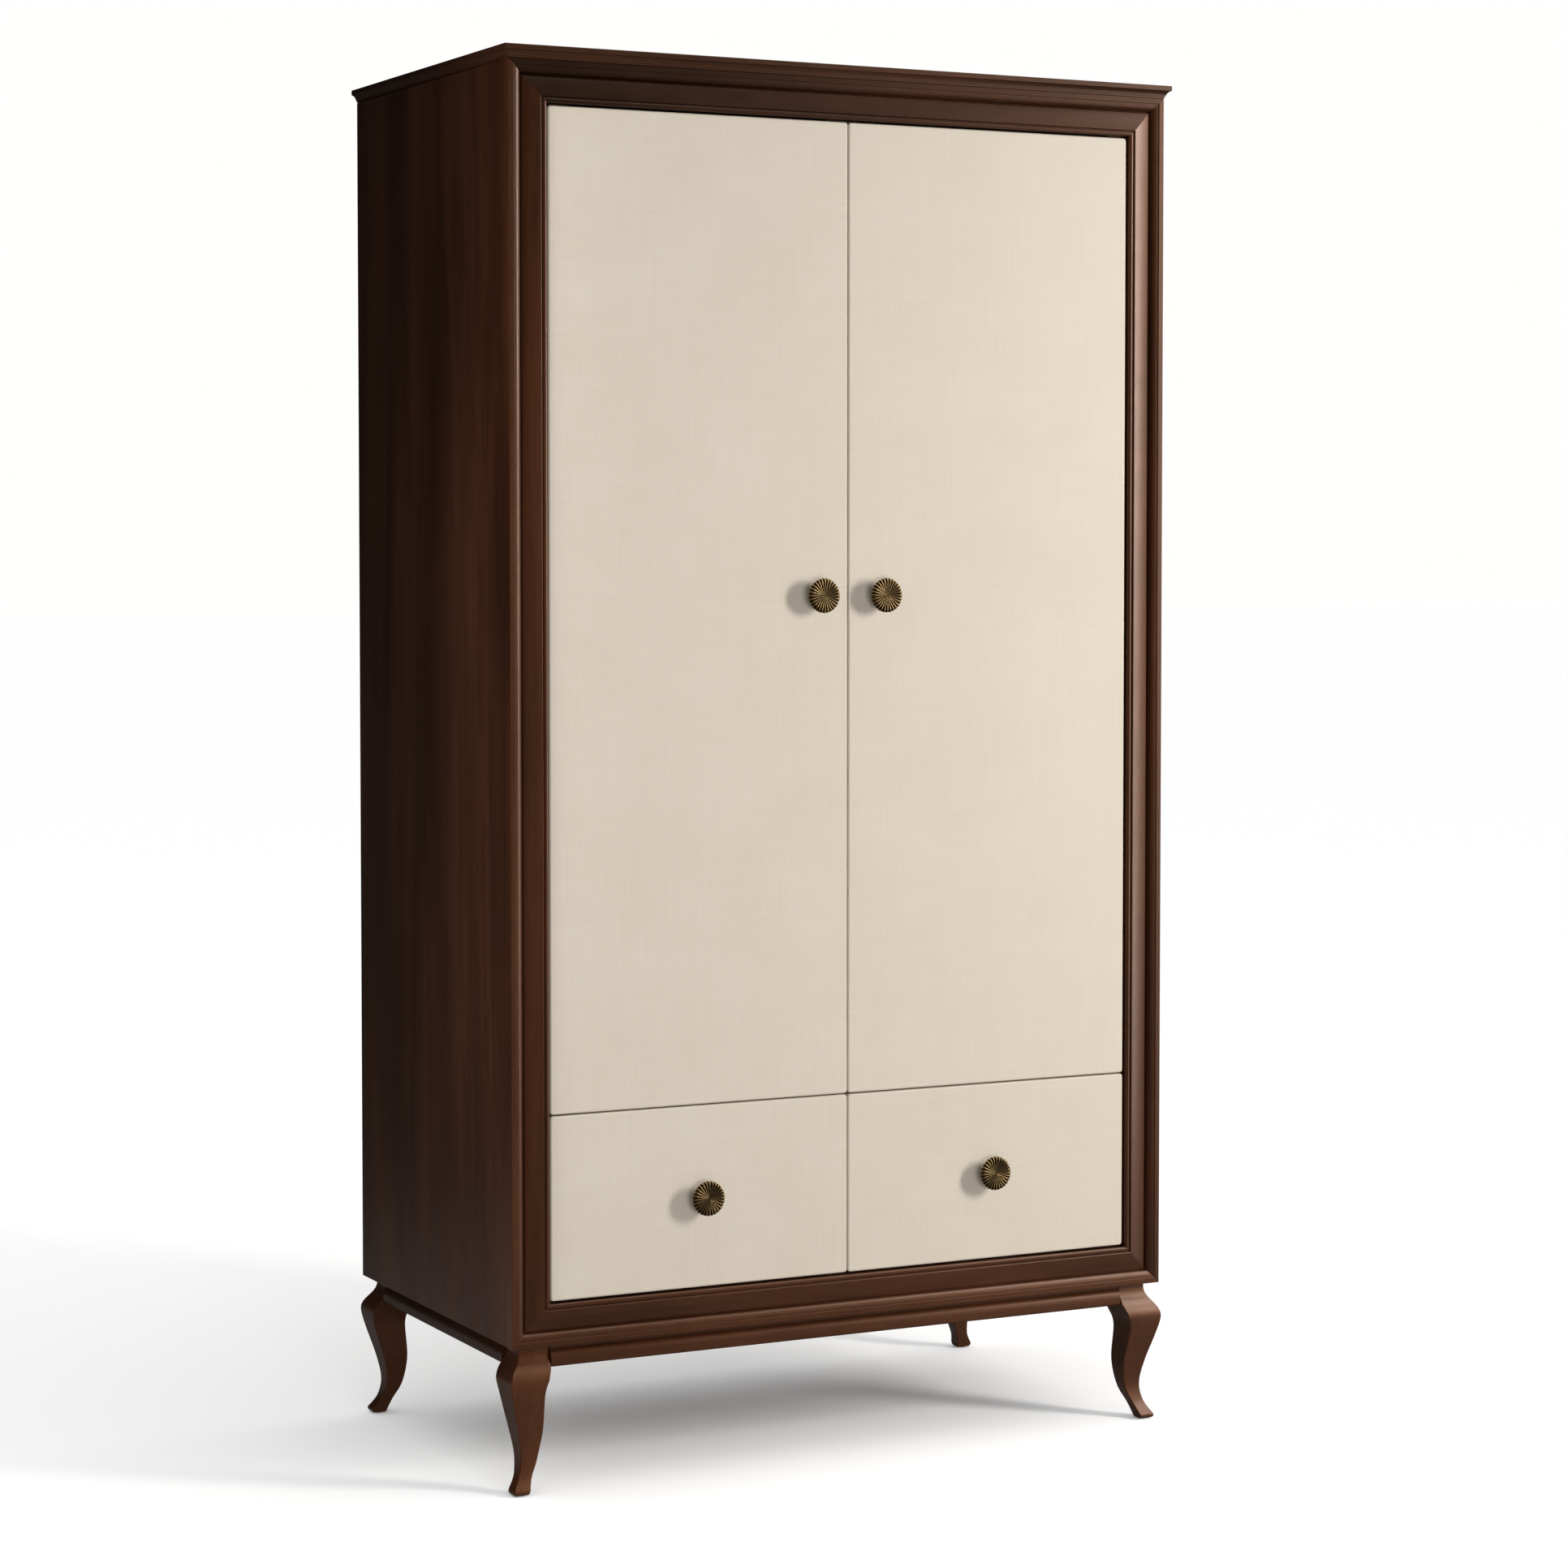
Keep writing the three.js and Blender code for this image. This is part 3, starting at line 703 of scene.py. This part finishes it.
def round_panel(low, high, corner, edge, rim=1.5):
    """Rings of a panel in the XZ plane with round corners, softened at both faces."""

    def ring(inset, y):
        radius = max(corner - inset, 0.2)
        points = []
        for turn, (cx, cz) in enumerate(((1, 1), (-1, 1), (-1, -1), (1, -1))):
            x = (high.x - inset * MM - radius * MM) if cx > 0 else (low.x + inset * MM + radius * MM)
            z = (high.z - inset * MM - radius * MM) if cz > 0 else (low.z + inset * MM + radius * MM)
            for step in range(CORNER_STEPS + 1):
                angle = (turn + step / CORNER_STEPS) * math.pi / 2
                points.append(
                    Vector((x + radius * MM * math.cos(angle), y, z + radius * MM * math.sin(angle)))
                )
        return points

    steps = 6
    rings = [ring(edge + rim, low.y), ring(edge + rim / 4, low.y)]
    for i in range(steps + 1):
        angle = i / steps * math.pi / 2
        rings.append(ring(edge * (1 - math.sin(angle)), low.y + edge * (1 - math.cos(angle)) * MM))
    for i in range(steps + 1):
        angle = (1 - i / steps) * math.pi / 2
        rings.append(ring(edge * (1 - math.sin(angle)), high.y - edge * (1 - math.cos(angle)) * MM))
    rings += [ring(edge + rim / 4, high.y), ring(edge + rim, high.y)]
    return rings


def cutter(points, faces):
    """A closed shape for carve to cut away."""
    return add_to_scene("cutter", closed_mesh("cutter", points, faces))


def box_rings(low, high):
    corners = ((low.x, low.y), (high.x, low.y), (high.x, high.y), (low.x, high.y))
    return [[Vector((x, y, z)) for x, y in corners] for z in (low.z, high.z)]


def carve(piece, tools):
    """Cuts the tools out of a piece, and removes them."""
    for tool in tools:
        cut = piece.modifiers.new("cut", "BOOLEAN")
        cut.operation = "DIFFERENCE"
        cut.solver = "EXACT"
        cut.object = tool
        bpy.context.view_layer.objects.active = piece
        while piece.modifiers[0] != cut:
            bpy.ops.object.modifier_move_up(modifier=cut.name)
        bpy.ops.object.modifier_apply(modifier=cut.name)
        bpy.data.objects.remove(tool)


for name in ("left", "right"):
    door = "door_" + name
    low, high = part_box(door)
    points, faces = loft(round_panel(low, high, PANEL_CORNER, PANEL_EDGE))
    piece = make(door + ".fine", points, faces, door, linen, crease=50.0)
    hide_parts(door)
    tools = []
    pivot = PIVOTS[door]
    slack = Vector((LEAF_SLACK, LEAF_SLACK, LEAF_SLACK)) * MM
    for end in ("top", "bottom"):
        leaf_low, leaf_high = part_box(f"hinge_leaf_{end}_{name}")
        deep = leaf_low - slack, leaf_high + slack
        if end == "top":
            deep[1].z += PAST_FACE * MM
        else:
            deep[0].z -= PAST_FACE * MM
        tools.append(cutter(*loft(box_rings(*deep))))
        edge_z = high.z if end == "top" else low.z
        inwards = -1 if end == "top" else 1
        start = Vector((pivot.x, pivot.y, edge_z - inwards * HOLE_LEAD * MM))
        tools.append(cutter(*lathe(PIN_HOLE, 32, start, (0, 0, inwards))))
    carve(piece, tools)

    drawer_front = "drawer_front_" + name
    low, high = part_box(drawer_front)
    points, faces = loft(round_panel(low, high, PANEL_CORNER, PANEL_EDGE))
    piece = make(drawer_front + ".fine", points, faces, "drawer_" + name, linen, 50.0)
    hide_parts(drawer_front)
    foot_low, foot_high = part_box("hinge_bracket_bottom_" + name)
    line = (high.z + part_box(door)[0].z) / 2
    notch_low = Vector(
        (foot_low.x - NOTCH_SLACK * MM, foot_low.y - NOTCH_SLACK * MM, line - NOTCH_BELOW_LINE * MM)
    )
    notch_high = Vector(
        (foot_high.x + NOTCH_SLACK * MM, high.y + PAST_FACE * MM, high.z + PAST_FACE * MM)
    )
    carve(piece, [cutter(*loft(box_rings(notch_low, notch_high)))])

# ------------------------------------------------------------------------------- knobs

KNOB_FLUTES = 28
FLUTE_DEPTH = 1.7
KNOB_STEM = [(0, 0), (8.6, 0), (9.3, 0.5), (9.4, 1.6), (8.8, 2.4), (7.6, 3), (6.6, 4.2), (6.1, 5.6)]
KNOB_STEM += [(6, 8.5), (6.2, 11), (7.0, 13), (8.6, 14.6), (11.2, 16.4), (15, 18.2), (19, 19.8)]
KNOB_STEM += [(22.4, 20.9), (24.6, 21.7), (25.6, 22.4)]
KNOB_RADIUS = 26.0
KNOB_FACE = [(26, 23.4), (26, 24.6), (25.5, 25.8), (24.4, 26.7), (23, 27.2), (21.5, 27.4), (20, 27.38)]
KNOB_FACE += [(18, 27.28), (15, 27.05), (12, 26.8), (9, 26.58), (6.5, 26.42), (4.5, 26.32), (2.8, 26.26)]
KNOB_FACE += [(1.4, 26.22), (0, 26.2)]
KNOB_EYE = 1.6


def ridge_height(angle):
    """One along the middle of a ridge, nothing along the bottom of a flute."""
    return abs(math.cos(angle * KNOB_FLUTES / 2)) ** 0.8


def fluted(radius, out, angle):
    """Sinks a knob's face between the ridges, less and less towards its eye."""
    if out < KNOB_FACE[0][1]:
        return radius, out
    sunk = 1.0 - ridge_height(angle)
    share = min(max((radius - KNOB_EYE) / (KNOB_RADIUS - KNOB_EYE), 0.0), 1.0) ** 0.75
    face = min((out - KNOB_FACE[0][1]) / 3.0, 1.0)
    return radius - 0.9 * sunk * share, out - FLUTE_DEPTH * sunk * share * face


def knob(name, body):
    low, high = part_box(name)
    centre = Vector(((low.x + high.x) / 2, high.y, (low.z + high.z) / 2))
    steps = KNOB_FLUTES * 12
    points, faces = lathe(KNOB_STEM + KNOB_FACE, steps, centre, (0, -1, 0), fluted)
    piece = make(name + ".fine", points, faces, body, knob_brass, crease=80.0)
    worn = piece.data.attributes.new("worn", "FLOAT", "POINT")
    for value, vertex in zip(worn.data, piece.data.vertices):
        across_x, across_z = vertex.co.x - centre.x, vertex.co.z - centre.z
        radius = math.hypot(across_x, across_z) / MM
        on_face = centre.y - vertex.co.y > 20 * MM
        value.value = ridge_height(math.atan2(across_z, across_x)) ** 2 if on_face else 0.5
        if radius < KNOB_EYE:
            value.value = 0.5
    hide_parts(name)


for name in ("left", "right"):
    knob("door_knob_" + name, "door_" + name)
    knob("drawer_knob_" + name, "drawer_" + name)

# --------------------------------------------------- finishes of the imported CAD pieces

EASED = {"dark_wood": 1.2, "inner_wood": 0.8, "drawer_wood": 1.0}
GRAIN_ALONG = {
    "side_panel": "Z",
    "apron_back": "X",
    "drawer_partition": "Y",
    "back_panel": "Z",
    "back_muntin": "Z",
    "shelf_cleat": "Y",
    "drawer_guide": "Y",
    "drawer_outer_side": "Y",
    "drawer_inner_side": "Y",
    "drawer_bottom": "Y",
}
MAKERS = {"dark_wood": dark_wood, "inner_wood": inner_wood, "drawer_wood": drawer_wood}
METALS = {"hinge_brass": hinge_brass, "steel": steel, "catch_plastic": catch_plastic}

slots = {p["node"]: p["material_slot"] for p in frame["record"]["subparts"]}
for name, node in sorted(frame["nodes"].items()):
    if node.hide_render:
        continue
    slot = slots[name]
    if slot in MAKERS:
        axis = next((a for start, a in GRAIN_ALONG.items() if name.startswith(start)), "X")
        panel = name.startswith("side_panel")
        material = veneer if panel else MAKERS[slot](axis)
    else:
        material = hinge_bronze if name.startswith("hinge_plate") else METALS[slot]
    node.data.materials.clear()
    node.data.materials.append(material)
    node.data.shade_smooth()
    weld = node.modifiers.new("weld", "WELD")
    weld.merge_threshold = 2e-6
    round_metal = slot not in MAKERS
    ease = node.modifiers.new("eased_edges", "BEVEL")
    ease.width = (0.2 if round_metal else EASED[slot]) * MM
    ease.segments = 2
    ease.use_clamp_overlap = not round_metal
    ease.limit_method = "ANGLE"
    ease.angle_limit = math.radians(40)
    even = node.modifiers.new("even_normals", "WEIGHTED_NORMAL")
    even.keep_sharp = False

# ------------------------------------------------ beads, screws and the catch's poles

BEAD = outline((-0.15, 0.05), [(7, 0.05)], [(7, 1)], [(7, 4.4), (4.6, 6.6), (1.2, 6.6)], [(-0.15, 6.6)])


def bead(name, low, high):
    """Four mitred lengths of quarter round that hold a back panel in, seen from behind."""
    rings = []
    for x, z, in_x, in_z in (
        (low.x, low.z, 1, 1),
        (high.x, low.z, -1, 1),
        (high.x, high.z, -1, -1),
        (low.x, high.z, 1, -1),
    ):
        rings.append([Vector((x + in_x * p.x * MM, high.y + p.y * MM, z + in_z * p.x * MM)) for p in BEAD])
    rings.append(rings[0])
    points, faces = loft(rings, closed_ends=False)
    make(name, points, faces, "carcass", bead_wood)


bead_wood = inner_wood("Z")
for name in ("left", "right"):
    bead("back_bead_" + name, *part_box("back_panel_" + name))


def slotted(profile, slot_floor, slot_width):
    """Points and faces of a slotted screw head whose axis is Z."""
    head = cutter(*lathe(profile, 28, (0, 0, 0), (0, 0, 1)))
    reach = max(radius for radius, _ in profile) + 1
    slot_low = Vector((-reach, -slot_width / 2, slot_floor)) * MM
    slot_high = Vector((reach, slot_width / 2, slot_floor + 10)) * MM
    carve(head, [cutter(*loft(box_rings(slot_low, slot_high)))])
    points = [vertex.co.copy() for vertex in head.data.vertices]
    faces = [tuple(face.vertices) for face in head.data.polygons]
    bpy.data.objects.remove(head)
    return points, faces


def flat_head(radius):
    """A countersunk head that stands a hair proud of the metal or wood round it."""
    profile = [(0, -0.5), (0.8 * radius, -0.5), (radius, -0.05), (radius, 0.06)]
    profile += [(0.94 * radius, 0.13), (0, 0.14)]
    return slotted(profile, -0.25, 0.28 * radius)


def screws(name, head, places, axis, body, material):
    """The same head at each place, turned as each screw happened to stop."""
    turn = Vector((0, 0, 1)).rotation_difference(Vector(axis)).to_matrix()
    points, faces = [], []
    for place in places:
        spin = turn @ Matrix.Rotation(draw.uniform(0, math.pi), 3, "Z")
        first = len(points)
        points += [Vector(place) + spin @ point for point in head[0]]
        faces += [tuple(first + i for i in face) for face in head[1]]
    make(name, points, faces, body, material)


PAN = [(0, 0.05), (7, 0.05), (7, 0.9), (6.6, 1.2), (4.4, 1.2), (4.4, 2.6), (3.9, 3.4), (2.6, 3.9), (0, 4)]
pan_head = slotted(PAN, 2.9, 1.2)
small_head = flat_head(2.2)
large_head = flat_head(3.2)
HINGE_METAL = 1.6 * MM
FLANGE_METAL = 1.8 * MM
SOCKET_FLANGE = 4 * MM
SOCKET_SCREWS = 22.5 * MM
CATCH_GAP = 0.5 * MM
PLATE_SCREWS = (9.5, 18.5)      # out from the pivot
BRACKET_SCREWS = (7, 22)        # up from the foot
LEAF_SCREWS = (10, -11, -22)    # out from the pivot
SOCKET_TURNS = (90, 210, 330)
CLEAT_SCREWS = (0.1, 0.5, 0.9)  # shares of the cleat's length
POLE_REACH = 7
POLE_HALF = 0.9
POLE_SHIFT = 5.5
POLE_SUNK = 0.2
POLE_PROUD = 0.3
CATCH_SCREW_UP = 8

for name, side in SIDES:
    door = "door_" + name
    pivot = PIVOTS[door]

    plate_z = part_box("hinge_plate_top_" + name)[1].z - HINGE_METAL
    places = [(pivot.x + side * x * MM, pivot.y, plate_z) for x in PLATE_SCREWS]
    screws("plate_screws_" + name, small_head, places, (0, 0, -1), "carcass", hinge_bronze)

    foot_low, foot_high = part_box("hinge_bracket_bottom_" + name)
    flange_x = foot_low.x + FLANGE_METAL if side < 0 else foot_high.x - FLANGE_METAL
    places = [(flange_x, pivot.y, foot_low.z + z * MM) for z in BRACKET_SCREWS]
    screws("bracket_screws_" + name, small_head, places, (-side, 0, 0), "carcass", hinge_brass)

    for end, up in (("top", 1), ("bottom", -1)):
        leaf_low, leaf_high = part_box(f"hinge_leaf_{end}_{name}")
        leaf_z = leaf_high.z if up > 0 else leaf_low.z
        places = [(pivot.x + side * x * MM, pivot.y, leaf_z) for x in LEAF_SCREWS]
        screws(f"leaf_screws_{end}_{name}", small_head, places, (0, 0, up), door, hinge_brass)

    strike_low, strike_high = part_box("strike_plate_" + name)
    middle = (strike_low + strike_high) / 2
    places = [(middle.x, strike_high.y, middle.z)]
    screws("strike_screw_" + name, small_head, places, (0, 1, 0), door, steel)
    face_y = strike_high.y + CATCH_GAP
    for end, shift in (("upper", POLE_SHIFT), ("lower", -POLE_SHIFT)):
        pole_low = Vector(
            (middle.x - POLE_REACH * MM, face_y - POLE_SUNK * MM, middle.z + (shift - POLE_HALF) * MM)
        )
        pole_high = Vector(
            (middle.x + POLE_REACH * MM, face_y + POLE_PROUD * MM, middle.z + (shift + POLE_HALF) * MM)
        )
        points, faces = loft(round_panel(pole_low, pole_high, 0.6, 0.1, rim=0.4))
        make(f"catch_pole_{end}_{name}", points, faces, "carcass", steel)

    socket_low, socket_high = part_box("rail_socket_" + name)
    middle = (socket_low + socket_high) / 2
    flange_x = socket_low.x + SOCKET_FLANGE if side < 0 else socket_high.x - SOCKET_FLANGE
    places = []
    for turn in SOCKET_TURNS:
        angle = math.radians(turn)
        places.append(
            (
                flange_x,
                middle.y + SOCKET_SCREWS * math.cos(angle),
                middle.z + SOCKET_SCREWS * math.sin(angle),
            )
        )
    screws("socket_screws_" + name, small_head, places, (-side, 0, 0), "carcass", hinge_brass)

    cleat_low, cleat_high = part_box("shelf_cleat_" + name)
    cleat_x = cleat_high.x if side < 0 else cleat_low.x
    cleat_z = (cleat_low.z + cleat_high.z) / 2
    places = [(cleat_x, cleat_low.y + (cleat_high.y - cleat_low.y) * t, cleat_z) for t in CLEAT_SCREWS]
    screws("cleat_screws_" + name, large_head, places, (-side, 0, 0), "carcass", steel)

    for front, body in ((door, door), ("drawer_front_" + name, "drawer_" + name)):
        knob_low, knob_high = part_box(front.split("_")[0] + "_knob_" + name)
        places = [((knob_low.x + knob_high.x) / 2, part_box(front)[1].y, (knob_low.z + knob_high.z) / 2)]
        screws(body + "_knob_screw", pan_head, places, (0, 1, 0), body, steel)

strike_low, strike_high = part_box("strike_plate_left")
places = [(0, strike_high.y + CATCH_GAP, strike_low.z + CATCH_SCREW_UP * MM)]
screws("catch_screw", small_head, places, (0, -1, 0), "carcass", steel)

# ---------------------------------------------------------------------- floor and light


FLOOR_SEEN = 0.93
FLOOR_GLOW = 0.09
SHEET_GREY = 0.17
SHEET_EDGE = (1.3, 2.6)
DARK_GREY = 0.03


def floor_material():
    """A pale floor. Only a sheet round the armoire throws light back at it; past that the studio is dark."""
    net = Net("studio_floor")
    away = net.add("ShaderNodeVectorMath", {0: net.place()}, operation="LENGTH").outputs["Value"]
    past_edge = net.fit(away, *SHEET_EDGE)
    seen = net.add("ShaderNodeLightPath").outputs["Is Camera Ray"]
    greys = (SHEET_GREY, DARK_GREY, FLOOR_SEEN)
    sheet, dark, pale = [
        net.add("ShaderNodeBsdfDiffuse", {"Color": (grey, grey, grey, 1.0)}).outputs["BSDF"] for grey in greys
    ]
    thrown = net.add("ShaderNodeMixShader", {0: past_edge, 1: sheet, 2: dark}).outputs[0]
    glow = net.add("ShaderNodeEmission", {"Strength": FLOOR_GLOW}).outputs["Emission"]
    pale = net.add("ShaderNodeAddShader", {0: pale, 1: glow}).outputs[0]
    shown = net.add("ShaderNodeMixShader", {0: seen, 1: thrown, 2: pale}).outputs[0]
    net.add("ShaderNodeOutputMaterial", {"Surface": shown})
    return net.material


FLOOR_HALF = 60.0
floor_mesh = bpy.data.meshes.new("studio_floor")
floor_mesh.from_pydata(
    [
        (-FLOOR_HALF, -FLOOR_HALF, 0),
        (FLOOR_HALF, -FLOOR_HALF, 0),
        (FLOOR_HALF, FLOOR_HALF, 0),
        (-FLOOR_HALF, FLOOR_HALF, 0),
    ],
    [],
    [(0, 1, 2, 3)],
)
floor_mesh.materials.append(floor_material())
floor = add_to_scene("studio_floor", floor_mesh)


def world():
    """White behind the armoire, a soft room for what lights it, and a dark one in its gloss."""
    made = bpy.data.worlds.new("studio")
    made.use_nodes = True
    tree = made.node_tree
    tree.nodes.clear()
    path = tree.nodes.new("ShaderNodeLightPath")
    shown = None
    for strength, ray in ((ROOM_LIGHT, None), (ROOM_GLOSS, "Is Glossy Ray"), (1.0, "Is Camera Ray")):
        layer = tree.nodes.new("ShaderNodeBackground")
        layer.inputs["Color"].default_value = (1.0, 1.0, 0.99, 1.0)
        layer.inputs["Strength"].default_value = strength
        if ray is None:
            shown = layer.outputs["Background"]
            continue
        both = tree.nodes.new("ShaderNodeMixShader")
        tree.links.new(path.outputs[ray], both.inputs["Fac"])
        tree.links.new(shown, both.inputs[1])
        tree.links.new(layer.outputs["Background"], both.inputs[2])
        shown = both.outputs["Shader"]
    output = tree.nodes.new("ShaderNodeOutputWorld")
    tree.links.new(shown, output.inputs["Surface"])
    bpy.context.scene.world = made


def softbox(name, place, target, size, power, colour=(1.0, 1.0, 1.0), shines=True):
    """A rectangular lamp; one that doesn't shine leaves no reflection in lacquer or brass."""
    data = bpy.data.lights.new(name, "AREA")
    data.shape = "RECTANGLE"
    data.size, data.size_y = size
    data.energy = power
    data.color = colour
    lamp = add_to_scene(name, data)
    lamp.location = place
    lamp.rotation_euler = (Vector(target) - Vector(place)).to_track_quat("-Z", "Y").to_euler()
    lamp.visible_glossy = shines
    lamp.visible_camera = False
    return lamp


def shine_only_on(lamp, lit):
    receivers = bpy.data.collections.new(lamp.name + "_lights")
    for thing in lit:
        receivers.objects.link(thing)
    lamp.light_linking.receiver_collection = receivers


def overhead(strength, spread):
    """Soft light from above that falls on the floor alone, with the armoire's shadow in it."""
    data = bpy.data.lights.new("overhead", "SUN")
    data.energy = strength
    data.angle = math.radians(spread)
    lamp = add_to_scene("overhead", data)
    lamp.rotation_euler = [math.radians(angle) for angle in OVERHEAD_TILT]
    shine_only_on(lamp, [floor])


ROOM_LIGHT = 0.14
ROOM_GLOSS = 0.012
WARM = (1.0, 0.97, 0.93)
OVERHEAD_TILT = (18.0, 4.0, 0.0)
armoire = [o for o in bpy.context.scene.objects if o.type == "MESH" and o != floor]
world()
softbox("key", (2.6, -2.8, 1.75), (0.1, -0.3, 0.95), (0.6, 1.3), 106.0, WARM, shines=False)
softbox("front_fill", (-1.0, -5.2, 0.6), (-0.1, -0.3, 0.5), (2.4, 1.5), 108.0, shines=False)
side_fill = softbox("side_fill", (-0.95, -0.42, 1.15), (-0.55, -0.40, 1.1), (0.15, 2.3), 3.8, shines=False)
shine_only_on(side_fill, armoire)
for name, place, target, size, power in (
    ("glint", (2.85, -2.4, 1.95), (0.1, -0.3, 1.0), (0.6, 1.3), 50.0),
    ("glint_below", (2.85, -2.4, 0.65), (0.1, -0.3, 0.8), (0.6, 1.3), 25.0),
    ("glint_above", (2.1, -1.3, 2.75), (0.3, -0.3, 0.5), (0.9, 1.0), 30.0),
    ("ceiling_panel", (0.0, -0.6, 4.2), (0.0, -0.6, 0.0), (3.0, 2.5), 80.0),
):
    softbox(name, place, target, size, power, WARM).visible_diffuse = False
back_fill = softbox("back_fill", (1.2, 4.2, 1.7), (0.0, 0.3, 1.0), (2.4, 1.6), 70.0, shines=False)
shine_only_on(back_fill, armoire)
overhead(2.75, 140.0)

# ------------------------------------------------------------------------------ camera

CAMERA_PLACE = (-2.6017, -5.2343, 1.3884)
LOOKS_RIGHT = 26.783
LOOKS_DOWN = 2.519
LENS = 85.10
FRAME_SHIFT = -0.05
camera_data = bpy.data.cameras.new("camera")
camera_data.sensor_width = 36.0
camera_data.lens = LENS
camera_data.shift_y = FRAME_SHIFT
camera = add_to_scene("camera", camera_data)
camera.location = CAMERA_PLACE
camera.rotation_euler = (math.radians(90 - LOOKS_DOWN), 0.0, math.radians(-LOOKS_RIGHT))
bpy.context.scene.camera = camera
bpy.context.scene.view_settings.view_transform = "Standard"
